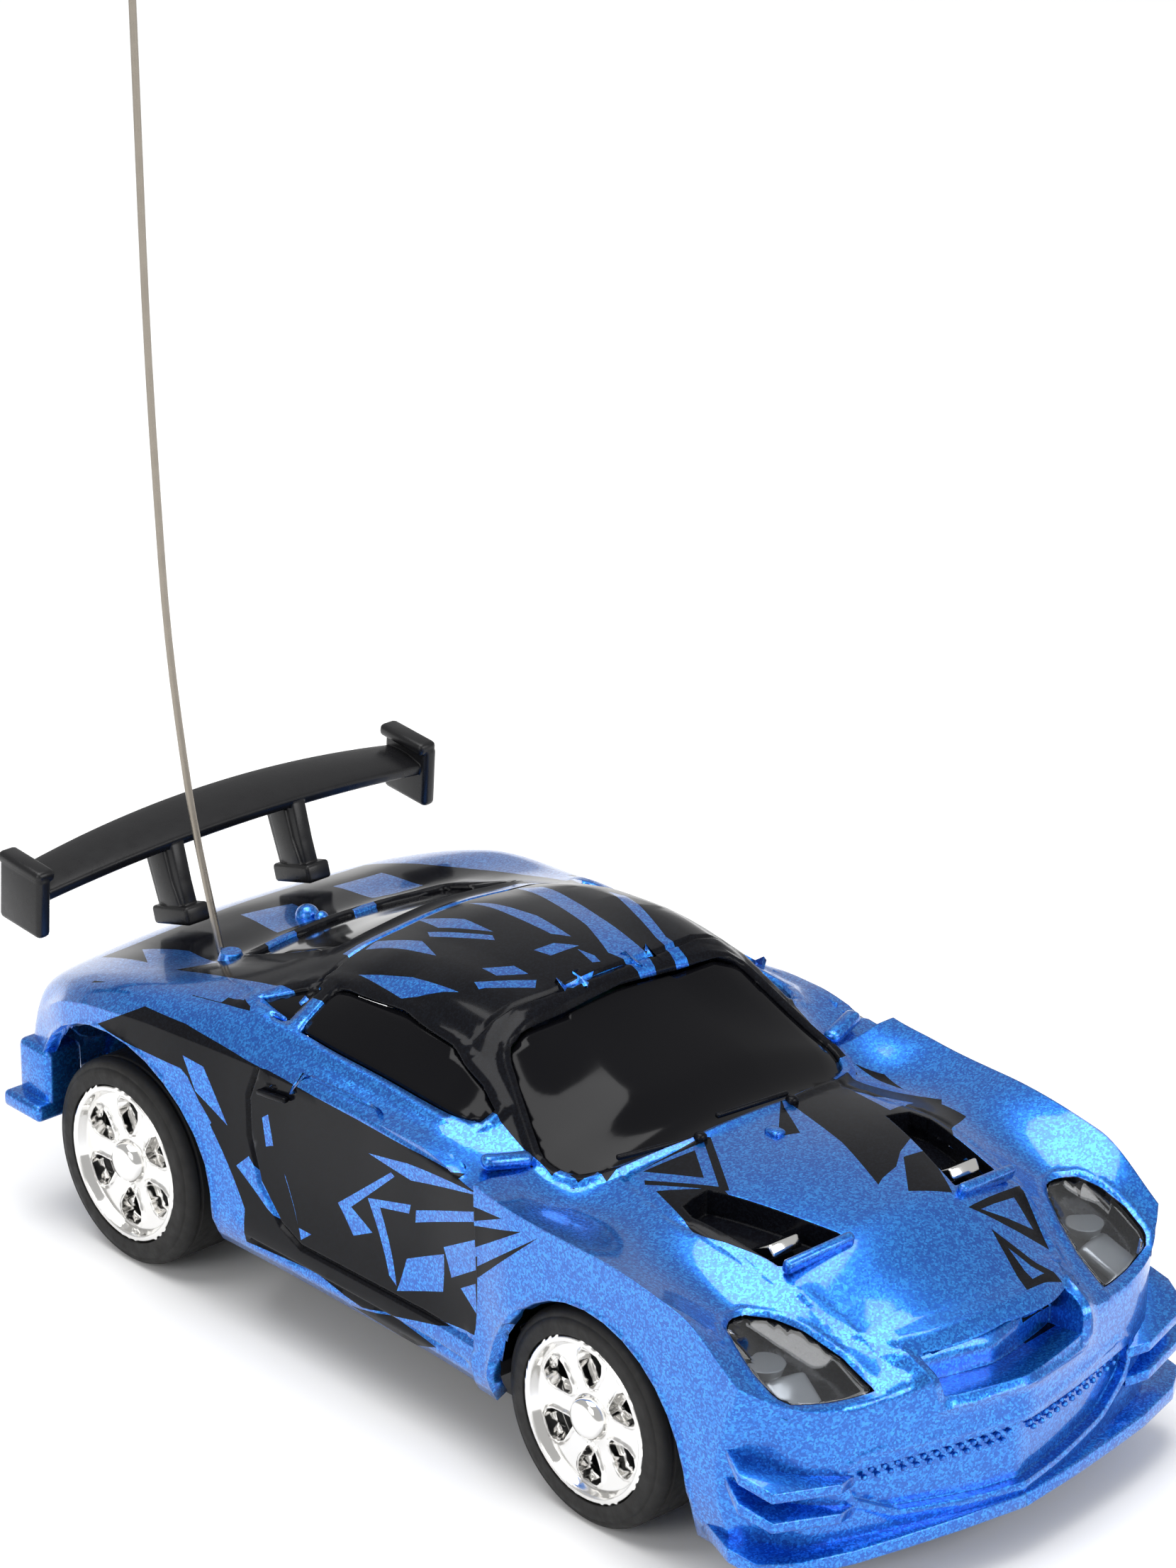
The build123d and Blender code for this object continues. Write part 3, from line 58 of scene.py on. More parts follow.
def sectionTable():
    hood, fender, roof, belt = car["hood"], car["fender"], car["roof"], car["belt"]
    deck, sill, nose = car["deck"], car["sill"], car["nose"]
    return [
        (fore(-21.4), [(1.4, nose), (1.2, 6.5), (1.2, 10.0), (1.8, 12.3), (5.2, 12.2)]
         + crownPoints(8.8, 12.6, 13.5, 13.6)),
        (fore(-18.0), [(1.4, nose), (0.9, 6.5), (0.8, 10.2), (1.5, 13.2), (5.1, 13.2)]
         + crownPoints(8.6, 13.6, 15.2, 15.7)),
        (fore(-14.2), [(1.2, nose), (0.5, 6.5), (0.3, 10.5), (0.4, 15.6), (5.0, 14.8)]
         + crownPoints(8.5, 15.5, 17.1, 17.5)),
        (fore(-9.0), [(1.1, nose + 0.2), (0.3, 7.0), (0.1, 11.0), (0.3, 18.6), (4.8, 16.8)]
         + crownPoints(8.9, 18.3, 19.4, 19.7)),
        (fore(-1.0), [(1.0, sill - 0.8), (0.2, 7.2), (0.0, 11.0), (0.3, fender), (4.8, 18.6)]
         + crownPoints(9.3, 19.6, 20.2, hood)),
        (fore(5.5), [(1.0, sill - 0.4), (0.2, 7.2), (0.1, 11.0), (0.4, 19.2), (4.8, 18.2)]
         + crownPoints(9.3, 19.4, 20.1, hood)),
        (fore(9.5), [(1.2, sill), (0.5, 7.3), (0.9, 11.5), (0.8, 19.1), (4.9, 19.2)]
         + crownPoints(7.7, 20.4, 21.7, 22.0)),
        (fore(15.8), [(1.5, sill), (0.8, 7.3), (1.4, 12.0), (1.1, 20.1), (4.1, 21.0)]
         + crownPoints(8.8, 24.4, 24.7, 24.9)),
        (fore(17.4), [(1.5, sill), (0.8, 7.3), (1.4, 12.0), (1.1, 20.1), (4.0, 21.1)]
         + crownPoints(9.1, 25.5, 26.1, 26.3)),
        (fore(22.0), [(1.5, sill), (0.8, 7.3), (1.4, 12.0), (1.2, 19.9), (3.9, 21.3)]
         + crownPoints(8.8, 25.8, 26.4, roof)),
        (aft(-18.0), [(1.5, sill), (0.8, 7.3), (1.3, 12.0), (1.2, 19.7), (3.7, belt)]
         + crownPoints(9.0, 25.4, 26.0, 26.3)),
        (aft(-12.0), [(1.4, sill), (0.7, 7.3), (1.0, 12.0), (1.0, 19.4), (3.3, belt)]
         + crownPoints(9.7, 23.9, 24.6, 24.9)),
        (aft(-5.0), [(1.2, sill), (0.4, 7.3), (0.3, 12.0), (0.4, 19.2), (3.0, 20.8)]
         + crownPoints(10.1, 21.4, 21.7, 21.9)),
        (aft(0.5), [(1.1, sill + 0.1), (0.2, 7.6), (0.1, 12.0), (0.2, 18.6), (2.7, 19.9)]
         + crownPoints(9.8, 19.4, 19.6, deck)),
        (aft(5.0), [(1.3, sill + 0.7), (0.6, 8.4), (0.4, 12.0), (0.5, 17.5), (2.9, 18.6)]
         + crownPoints(9.8, 18.6, 18.7, 18.8)),
        (aft(10.0), [(2.0, sill + 1.7), (1.6, 9.4), (1.6, 12.0), (2.0, 14.6), (3.7, 16.6)]
         + crownPoints(9.8, 17.1, 17.3, 17.4)),
        (aft(12.0), [(2.8, sill + 2.4), (2.4, 9.8), (2.4, 12.0), (2.9, 13.5), (4.3, 15.5)]
         + crownPoints(9.8, 16.2, 16.4, 16.5)),
    ]


def smoothSlopes(places, values):
    runs = [(values[i + 1] - values[i]) / (places[i + 1] - places[i])
            for i in range(len(values) - 1)]
    slopes = [runs[0]]
    for before, after in zip(runs, runs[1:]):
        slopes.append(0.0 if before * after <= 0 else 2 * before * after / (before + after))
    return slopes + [runs[-1]]


def hermite(t, start, end, leaving, arriving):
    return ((1 + 2 * t) * (1 - t) ** 2 * start + t * (1 - t) ** 2 * leaving
            + t * t * (3 - 2 * t) * end + t * t * (t - 1) * arriving)


def smoothCurve(places, values):
    slopes = smoothSlopes(places, values)

    def at(place):
        place = min(max(place, places[0]), places[-1])
        i = 0
        while i < len(places) - 2 and place > places[i + 1]:
            i += 1
        run = places[i + 1] - places[i]
        t = (place - places[i]) / run
        return hermite(t, values[i], values[i + 1], slopes[i] * run, slopes[i + 1] * run)

    return at


sectionRows = sectionTable()
sectionPlaces = [row[0] for row in sectionRows]
lastColumn = len(sectionRows[0][1]) - 1
columnCurves = [[smoothCurve(sectionPlaces, [row[1][c][part] for row in sectionRows])
                 for part in (0, 1)] for c in range(lastColumn + 1)]
# Where the nose and the tail end, by the distance from the centre line.
noseCurve = smoothCurve([0.0, 5.0, 10.0, 13.7, 16.4, 18.7],
                        [fore(y) for y in (-20.6, -19.6, -18.2, -17.0, -14.6, -9.0)])
tailCurve = smoothCurve([0.0, 12.3, 16.1, 18.7], [aft(y) for y in (12.2, 12.0, 11.0, 8.0)])
sharpColumns = {0, 3}


def sectionAt(y):
    points = [(car["halfWidth"] - inset(y), height(y)) for inset, height in columnCurves]
    slopes = []
    for c, point in enumerate(points):
        before, after = points[max(c - 1, 0)], points[min(c + 1, lastColumn)]
        if c == lastColumn:
            slopes.append((point[0] - before[0], 0.0))
        else:
            slopes.append(((after[0] - before[0]) / 2, (after[1] - before[1]) / 2))
    return points, slopes


def sectionPoint(y, v):
    points, slopes = sectionAt(y)
    c = min(int(v), lastColumn - 1)
    t = v - c
    start, end = points[c], points[c + 1]
    leaving, arriving = slopes[c], slopes[c + 1]
    if c in sharpColumns:
        leaving = (end[0] - start[0], end[1] - start[1])
    if c + 1 in sharpColumns:
        arriving = (end[0] - start[0], end[1] - start[1])
    return tuple(hermite(t, start[k], end[k], leaving[k], arriving[k]) for k in (0, 1))


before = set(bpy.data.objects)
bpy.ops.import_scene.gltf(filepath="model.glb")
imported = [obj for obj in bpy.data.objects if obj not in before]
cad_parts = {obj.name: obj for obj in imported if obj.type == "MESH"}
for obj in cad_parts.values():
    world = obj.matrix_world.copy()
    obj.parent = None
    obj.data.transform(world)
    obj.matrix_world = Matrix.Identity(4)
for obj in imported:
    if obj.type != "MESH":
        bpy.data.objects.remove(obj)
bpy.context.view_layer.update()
millimetre = 0.001
sides = {"left": 1, "right": -1}


def newMaterial(name, **values):
    material = bpy.data.materials.new(name)
    material.use_nodes = True
    shader = material.node_tree.nodes["Principled BSDF"]
    for socket, value in values.items():
        shader.inputs[socket.replace("_", " ")].default_value = value
    return material, material.node_tree, shader


def newNode(tree, kind, **values):
    node = tree.nodes.new("ShaderNode" + kind)
    for socket, value in values.items():
        node.inputs[socket.replace("_", " ")].default_value = value
    return node


def vectorMath(tree, operation):
    node = newNode(tree, "VectorMath")
    node.operation = operation
    return node


def edgeNormal(tree, radius):
    soft = newNode(tree, "Bevel", Radius=radius)
    soft.samples = 4
    return soft.outputs["Normal"]


def newGroup(name, inputs, outputs):
    tree = bpy.data.node_groups.new(name, "ShaderNodeTree")
    for way, sockets in (("INPUT", inputs), ("OUTPUT", outputs)):
        for socket, kind in sockets.items():
            tree.interface.new_socket(socket, in_out=way, socket_type="NodeSocket" + kind)
    entry = tree.nodes.new("NodeGroupInput").outputs
    leave = tree.nodes.new("NodeGroupOutput").inputs
    return tree, tree.links.new, entry, leave


def useGroup(tree, shader, group, sockets, **values):
    node = newNode(tree, "Group")
    node.node_tree = group
    for socket, value in values.items():
        node.inputs[socket].default_value = value
    place = newNode(tree, "TexCoord").outputs["Object"]
    tree.links.new(place, node.inputs["Place"])
    for socket, target in sockets.items():
        tree.links.new(node.outputs[socket], shader.inputs[target])


# Metal flakes: each small cell takes its own colour and leans its own way.
def buildFlakeGroup():
    tree, link, entry, leave = newGroup(
        "metalFlake",
        {"Place": "Vector", "Body": "Color", "Spark": "Color", "Grain": "Float", "Tilt": "Float"},
        {"Color": "Color", "Normal": "Vector"})
    cells = newNode(tree, "TexVoronoi")
    link(entry["Place"], cells.inputs["Vector"])
    link(entry["Grain"], cells.inputs["Scale"])
    split = newNode(tree, "SeparateColor")
    link(cells.outputs["Color"], split.inputs["Color"])
    share = newNode(tree, "MapRange", From_Min=0.35, From_Max=1.0)
    link(split.outputs["Red"], share.inputs["Value"])
    blend = newNode(tree, "Mix")
    blend.data_type = "RGBA"
    link(share.outputs["Result"], blend.inputs["Factor"])
    link(entry["Body"], blend.inputs["A"])
    link(entry["Spark"], blend.inputs["B"])
    link(blend.outputs["Result"], leave["Color"])
    middle = vectorMath(tree, "SUBTRACT")
    middle.inputs[1].default_value = (0.5, 0.5, 0.5)
    link(cells.outputs["Color"], middle.inputs[0])
    lean = vectorMath(tree, "SCALE")
    link(middle.outputs["Vector"], lean.inputs[0])
    link(entry["Tilt"], lean.inputs["Scale"])
    join = vectorMath(tree, "ADD")
    link(edgeNormal(tree, 0.00018), join.inputs[0])
    link(lean.outputs["Vector"], join.inputs[1])
    level = vectorMath(tree, "NORMALIZE")
    link(join.outputs["Vector"], level.inputs[0])
    link(level.outputs["Vector"], leave["Normal"])
    return tree


# Fine wear: one noise drives both the roughness and a shallow bump.
def buildWearGroup():
    tree, link, entry, leave = newGroup(
        "fineWear",
        {"Place": "Vector", "Grain": "Float", "Low": "Float", "High": "Float", "Height": "Float"},
        {"Roughness": "Float", "Normal": "Vector"})
    noise = newNode(tree, "TexNoise", Detail=4.0)
    link(entry["Place"], noise.inputs["Vector"])
    link(entry["Grain"], noise.inputs["Scale"])
    spread = newNode(tree, "MapRange", From_Min=0.3, From_Max=0.7)
    link(noise.outputs["Fac"], spread.inputs["Value"])
    link(entry["Low"], spread.inputs["To Min"])
    link(entry["High"], spread.inputs["To Max"])
    link(spread.outputs["Result"], leave["Roughness"])
    bump = newNode(tree, "Bump", Distance=0.0001)
    link(entry["Height"], bump.inputs["Strength"])
    link(noise.outputs["Fac"], bump.inputs["Height"])
    link(edgeNormal(tree, 0.00015), bump.inputs["Normal"])
    link(bump.outputs["Normal"], leave["Normal"])
    return tree


flakeGroup = buildFlakeGroup()
wearGroup = buildWearGroup()
flakeGrain = 8000.0


def flakePaint(name, body, spark, tilt, **values):
    material, tree, shader = newMaterial(name, **values)
    useGroup(tree, shader, flakeGroup, {"Color": "Base Color", "Normal": "Normal"},
             Body=(*body, 1.0), Spark=(*spark, 1.0), Grain=flakeGrain, Tilt=tilt)
    return material


def plainFinish(name, color, low, high, height=0.15, grain=900.0, **values):
    material, tree, shader = newMaterial(name, **values)
    shader.inputs["Base Color"].default_value = (*color, 1.0)
    useGroup(tree, shader, wearGroup, {"Roughness": "Roughness", "Normal": "Normal"},
             Grain=grain, Low=low, High=high, Height=height)
    return material


# Paints: body colour, flake colour, flake lean. Others: colour, roughness from and to,
# bump height, bump grain.
finishes = {
    "bluePaint": flakePaint("bluePaint", (0.005, 0.105, 0.5), (0.03, 0.31, 0.9), 0.07,
                            Metallic=0.82, Roughness=0.3, Coat_Weight=0.8, Coat_Roughness=0.07),
    "blackPaint": flakePaint("blackPaint", (0.003, 0.003, 0.0045), (0.005, 0.006, 0.009), 0.0,
                             Metallic=0.0, Roughness=0.16, Specular_IOR_Level=0.09,
                             Coat_Weight=0.07, Coat_Roughness=0.04),
    "darkGlass": plainFinish("darkGlass", (0.003, 0.003, 0.004), 0.07, 0.12, 0.02, 300.0,
                             Specular_IOR_Level=0.12, Coat_Weight=0.04, Coat_Roughness=0.03),
    "wingPlastic": plainFinish("wingPlastic", (0.008, 0.008, 0.009), 0.24, 0.34, 0.1,
                               Specular_IOR_Level=0.3),
    "chassisPlastic": plainFinish("chassisPlastic", (0.014, 0.014, 0.016), 0.4, 0.55, 0.2),
    "tyreRubber": plainFinish("tyreRubber", (0.011, 0.0105, 0.01), 0.5, 0.7, 0.35, 1400.0,
                              Specular_IOR_Level=0.3),
    "chrome": plainFinish("chrome", (0.86, 0.85, 0.83), 0.05, 0.12, 0.05, 500.0, Metallic=1.0),
    "platedSteel": plainFinish("platedSteel", (0.55, 0.54, 0.52), 0.2, 0.32, 0.1, Metallic=1.0),
    "springSteel": plainFinish("springSteel", (0.3, 0.27, 0.23), 0.22, 0.34, 0.1, Metallic=1.0),
    "brass": plainFinish("brass", (0.72, 0.5, 0.2), 0.22, 0.35, 0.1, Metallic=1.0),
    "copper": plainFinish("copper", (0.72, 0.28, 0.12), 0.25, 0.4, 0.4, 4000.0, Metallic=1.0),
    "ferrite": plainFinish("ferrite", (0.05, 0.05, 0.055), 0.4, 0.55, 0.2, Metallic=0.3),
    "boardResin": plainFinish("boardResin", (0.01, 0.09, 0.03), 0.3, 0.45, 0.1),
    "chipResin": plainFinish("chipResin", (0.02, 0.02, 0.022), 0.4, 0.55, 0.15),
    "sleeve": plainFinish("sleeve", (0.02, 0.05, 0.2), 0.25, 0.35, 0.1),
    "cellSleeve": plainFinish("cellSleeve", (0.02, 0.25, 0.1), 0.25, 0.35, 0.1),
    "redWire": plainFinish("redWire", (0.5, 0.01, 0.015), 0.35, 0.45, 0.1),
    "blackWire": plainFinish("blackWire", (0.012, 0.012, 0.013), 0.35, 0.45, 0.1),
    "lampGrey": plainFinish("lampGrey", (0.3, 0.31, 0.32), 0.15, 0.25, 0.05, Metallic=0.4),
    "gearNylon": plainFinish("gearNylon", (0.75, 0.74, 0.7), 0.35, 0.5, 0.1),
}
finishes["clearLens"], _, _ = newMaterial("clearLens", Base_Color=(0.93, 0.96, 1.0, 1.0), IOR=1.46,
                                          Roughness=0.03, Transmission_Weight=1.0)
print("finishes ready")

# All mesh work is in millimetres until makePiece scales it.
acrossAxis, alongAxis, upAxis = Vector((1, 0, 0)), Vector((0, 1, 0)), Vector((0, 0, 1))
mesh = {"merge": 0.0005, "snap": 0.02, "near": 3, "grid": 0.5}


def makePiece(name, bm, body, materials, replaced=(), sharp=40, solid=None,
              recalc=False):
    bmesh.ops.remove_doubles(bm, verts=bm.verts, dist=mesh["merge"])
    if recalc:
        bmesh.ops.recalc_face_normals(bm, faces=bm.faces)
    limit = math.radians(sharp)
    for edge in bm.edges:
        edge.smooth = len(edge.link_faces) != 2 or edge.calc_face_angle(0.0) < limit
    for face in bm.faces:
        face.smooth = True
        face.material_index = min(face.material_index, len(materials) - 1)
    bmesh.ops.scale(bm, vec=(millimetre,) * 3, verts=bm.verts)
    data = bpy.data.meshes.new(name)
    bm.to_mesh(data)
    bm.free()
    for material in materials:
        data.materials.append(finishes[material])
    piece = bpy.data.objects.new(name, data)
    bpy.context.scene.collection.objects.link(piece)
    if solid:
        wall = piece.modifiers.new("wall", "SOLIDIFY")
        wall.thickness = solid * millimetre
        wall.offset = -1.0
        wall.use_quality_normals = True
    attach(piece, body)
    if replaced:
        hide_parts(*replaced)
    return piece


def faceGeometry(faces):
    verts = {vert for face in faces for vert in face.verts}
    edges = {edge for face in faces for edge in face.edges}
    return list(verts) + list(edges) + list(faces)


def spanOf(values):
    return min(values), max(values)


def axisIndex(axis):
    return max(range(3), key=lambda i: abs(axis[i]))

def spans(points):
    return *spanOf([p[0] for p in points]), *spanOf([p[1] for p in points])


def winding(outline):
    area = sum(a[0] * b[1] - b[0] * a[1] for a, b in zip(outline, outline[1:] + outline[:1]))
    return 1.0 if area > 0 else -1.0


# A view is (axis across, axis up, the test that picks its faces).
def facesNear(bm, box, view):
    lowA, highA, lowB, highB = box
    indexA, indexB = axisIndex(view[0]), axisIndex(view[1])
    near = mesh["near"]
    found = []
    for face in bm.faces:
        place = face.verts[0].co
        if (lowA - near < place[indexA] < highA + near
                and lowB - near < place[indexB] < highB + near and view[2](face)):
            found.append(face)
    return found


# Cuts the outline's edges into the mesh and returns the faces inside it.
def knife(bm, outline, view):
    across, up, _ = view
    turn = winding(outline)
    lowA, highA, lowB, highB = box = spans(outline)
    inside = []
    for face in facesNear(bm, box, view):
        spanA = spanOf([vert.co.dot(across) for vert in face.verts])
        spanB = spanOf([vert.co.dot(up) for vert in face.verts])
        if spanA[1] > lowA and spanA[0] < highA and spanB[1] > lowB and spanB[0] < highB:
            inside.append(face)
    for a, b in zip(outline, outline[1:] + outline[:1]):
        normal = (up * (b[0] - a[0]) - across * (b[1] - a[1])) * turn
        if normal.length < 1e-6 or not inside:
            continue
        point = across * a[0] + up * a[1]
        cut = bmesh.ops.bisect_plane(bm, geom=faceGeometry(inside), dist=mesh["snap"],
                                     plane_co=point, plane_no=normal)
        inside = [item for item in cut["geom"] if isinstance(item, bmesh.types.BMFace)
                  and normal.dot(item.calc_center_median() - point) > 0]
    return inside


def roundOutline(outline, radius, steps=4):
    rounded = []
    for i, corner in enumerate(outline):
        corner = Vector(corner)
        before = Vector(outline[i - 1]) - corner
        after = Vector(outline[(i + 1) % len(outline)]) - corner
        reach = min(radius, before.length * 0.45, after.length * 0.45)
        start = corner + before.normalized() * reach
        end = corner + after.normalized() * reach
        for step in range(steps + 1):
            t = step / steps
            point = start * (1 - t) ** 2 + corner * 2 * t * (1 - t) + end * t * t
            rounded.append((point.x, point.y))
    return rounded


def grown(outline, amount):
    turn = winding(outline)
    result = []
    for i, corner in enumerate(outline):
        before = (Vector(corner) - Vector(outline[i - 1])).normalized()
        after = (Vector(outline[(i + 1) % len(outline)]) - Vector(corner)).normalized()
        first, second = Vector((before.y, -before.x)) * turn, Vector((after.y, -after.x)) * turn
        middle = (first + second).normalized()
        point = Vector(corner) + middle * (amount / max(middle.dot(first), 0.4))
        result.append((point.x, point.y))
    return result


def mirrored(outline, side):
    return [(x * side, y) for x, y in outline]


# Sinks a groove of this width and depth along the path; a depth below nought raises a ridge.
def carve(bm, path, width, depth, view):
    across, up, choose = view
    reach = width * 0.5
    grid = mesh["grid"]
    indexA, indexB = axisIndex(across), axisIndex(up)
    for a, b in zip(path, path[1:]):
        run = Vector((b[0] - a[0], b[1] - a[1]))
        lowA, highA, lowB, highB = box = spans((a, b))
        for shift in (-reach, 0.0, reach):
            near = []
            for face in facesNear(bm, box, view):
                centre = face.calc_center_median()
                u, v = centre.dot(across), centre.dot(up)
                if lowA - grid < u < highA + grid and lowB - grid < v < highB + grid:
                    offset = (run.x * (v - a[1]) - run.y * (u - a[0])) / run.length
                    if abs(offset) < reach + 2 * grid:
                        near.append(face)
            if near:
                normal = (up * run.x - across * run.y).normalized()
                point = across * a[0] + up * a[1] + normal * shift
                bmesh.ops.bisect_plane(bm, geom=faceGeometry(near), dist=mesh["snap"],
                                       plane_co=point, plane_no=normal)
    bm.normal_update()
    lowA, highA, lowB, highB = spans(path)
    moves = []
    for vert in bm.verts:
        u, v = vert.co[indexA], vert.co[indexB]
        if not (lowA - reach < u < highA + reach and lowB - reach < v < highB + reach
                and any(choose(face) for face in vert.link_faces)):
            continue
        nearest = min(segmentDistance(u, v, a, b) for a, b in zip(path, path[1:]))
        if nearest < reach * 0.98:
            facing = sum((face.normal * face.calc_area() for face in vert.link_faces), Vector())
            if facing.length > 1e-9:
                moves.append((vert, facing.normalized() * (-depth * (1 - nearest / reach))))
    for vert, move in moves:
        vert.co += move


def segmentDistance(u, v, a, b):
    run = (b[0] - a[0], b[1] - a[1])
    t = ((u - a[0]) * run[0] + (v - a[1]) * run[1]) / (run[0] ** 2 + run[1] ** 2)
    t = min(max(t, 0.0), 1.0)
    return math.hypot(u - a[0] - run[0] * t, v - a[1] - run[1] * t)


def sink(bm, faces, move):
    lowered = bmesh.ops.extrude_face_region(bm, geom=faces)
    floor = [item for item in lowered["geom"] if isinstance(item, bmesh.types.BMFace)]
    bmesh.ops.delete(bm, geom=[face for face in faces if face.is_valid], context="FACES")
    bmesh.ops.translate(bm, vec=move, verts=list({vert for face in floor for vert in face.verts}))
    return floor


def bevelEdges(bm, edges, offset, segments):
    return bmesh.ops.bevel(bm, geom=edges, offset=offset, affect="EDGES", segments=segments,
                           profile=0.5, material=-1, clamp_overlap=True)


def addBlock(bm, size, place, turn, bevel, material=0):
    verts = bmesh.ops.create_cube(bm, size=1.0)["verts"]
    bmesh.ops.scale(bm, vec=size, verts=verts)
    edges = list({edge for vert in verts for edge in vert.link_edges})
    beveled = bevelEdges(bm, edges, bevel, 3)
    verts = list({vert for vert in verts if vert.is_valid} | set(beveled["verts"]))
    for face in {face for vert in verts for face in vert.link_faces}:
        face.material_index = material
    tilt = Matrix.Translation(place)
    for angle, axis in zip(turn, "XYZ"):
        tilt = tilt @ Matrix.Rotation(math.radians(angle), 4, axis)
    bmesh.ops.transform(bm, matrix=tilt, verts=verts)


def addPlate(bm, corners, move, bevel=0.1):
    verts = [bm.verts.new(corner) for corner in corners]
    top = bm.faces.new(verts)
    lower = bmesh.ops.extrude_face_region(bm, geom=[top], use_keep_orig=True)
    low = [item for item in lower["geom"] if isinstance(item, bmesh.types.BMVert)]
    bmesh.ops.translate(bm, vec=move, verts=low)
    faces = {face for vert in verts + low for face in vert.link_faces}
    bmesh.ops.recalc_face_normals(bm, faces=list(faces))
    bevelEdges(bm, list({edge for face in faces for edge in face.edges}), bevel, 2)


surfaceGrid = {
    "rows": 196,
    "columnSteps": [2, 5, 9, 6, 9, 3, 12],
    "noseBend": fore(-3.0),
    "tailBend": aft(4.0),
    "noseBulge": 0.2,
    "bulgeReach": 14.0,
}


def columnSamples():
    samples = [0.0]
    for c, steps in enumerate(surfaceGrid["columnSteps"]):
        samples += [c + (step + 1) / steps for step in range(steps)]
    return samples


def bentPoint(y, v):
    x, _ = sectionPoint(y, v)
    noseY, tailY = noseCurve(0.0), tailCurve(0.0)
    if y < surfaceGrid["noseBend"]:
        share = (surfaceGrid["noseBend"] - y) / (surfaceGrid["noseBend"] - noseY)
        y += (noseCurve(x) - noseY) * share
    if y > surfaceGrid["tailBend"]:
        share = (y - surfaceGrid["tailBend"]) / (tailY - surfaceGrid["tailBend"])
        y += (tailCurve(x) - tailY) * share
    x, z = sectionPoint(y, v)
    return Vector((x, y, z))


def gridRows(made, rows, columns):
    verts = sorted(made["verts"], key=lambda vert: (round(vert.co.y, 5), round(vert.co.x, 5)))
    return [verts[r * columns:(r + 1) * columns] for r in range(rows)]


def bodyGrid(bm, rowPlaces):
    samples = columnSamples()
    columns = 2 * len(samples) - 1
    made = bmesh.ops.create_grid(bm, x_segments=columns - 1, y_segments=len(rowPlaces) - 1,
                                 size=1.0)
    rows = gridRows(made, len(rowPlaces), columns)
    for y, verts in zip(rowPlaces, rows):
        for c, v in enumerate(samples):
            point = bentPoint(y, v)
            verts[columns - 1 - c].co = point
            verts[c].co = Vector((-point.x, point.y, point.z))
    return rows


# Closes an end: its top edge is copied down to the sill and follows the side near each edge.
def capGrid(bm, ring, crease, bulge):
    columns = len(ring) - 2 * crease
    made = bmesh.ops.create_grid(bm, x_segments=columns - 1, y_segments=crease, size=1.0)
    low = ring[0].z
    for j, verts in enumerate(gridRows(made, crease + 1, columns)):
        share = (ring[j].z - low) / (ring[crease].z - low)
        for i, vert in enumerate(verts):
            top = ring[crease + i]
            point = top.copy()
            point.z = low + share * (top.z - low)
            point.y += endBulge(bulge, top.x, point.z, top.z)
            left = i < columns / 2
            side, edge = (ring[j], ring[crease]) if left else (ring[-1 - j], ring[-1 - crease])
            near = max(0.0, 1 - abs(point.x - edge.x) / 3.0)
            point += Vector((side.x - edge.x, side.y - edge.y, 0)) * near
            vert.co = point


def endBulge(bulge, x, z, top):
    middle = max(0.0, 1 - abs(x) / surfaceGrid["bulgeReach"])
    share = min(max((top - z) / (top - car["nose"]), 0.0), 1.0)
    return -bulge * middle * math.sin(math.pi * share) ** 0.5


def bodySurface():
    bm = bmesh.new()
    noseY, tailY = noseCurve(0.0), tailCurve(0.0)
    count = surfaceGrid["rows"]
    rows = bodyGrid(bm, [noseY + (tailY - noseY) * r / count for r in range(count + 1)])
    crease = sum(surfaceGrid["columnSteps"][:3])
    nose, tail = [[vert.co.copy() for vert in row] for row in (rows[0], rows[-1])]
    capGrid(bm, nose, crease, surfaceGrid["noseBulge"])
    capGrid(bm, tail, crease, 0.0)
    bmesh.ops.remove_doubles(bm, verts=bm.verts, dist=mesh["snap"])
    bmesh.ops.recalc_face_normals(bm, faces=bm.faces)
    return bm


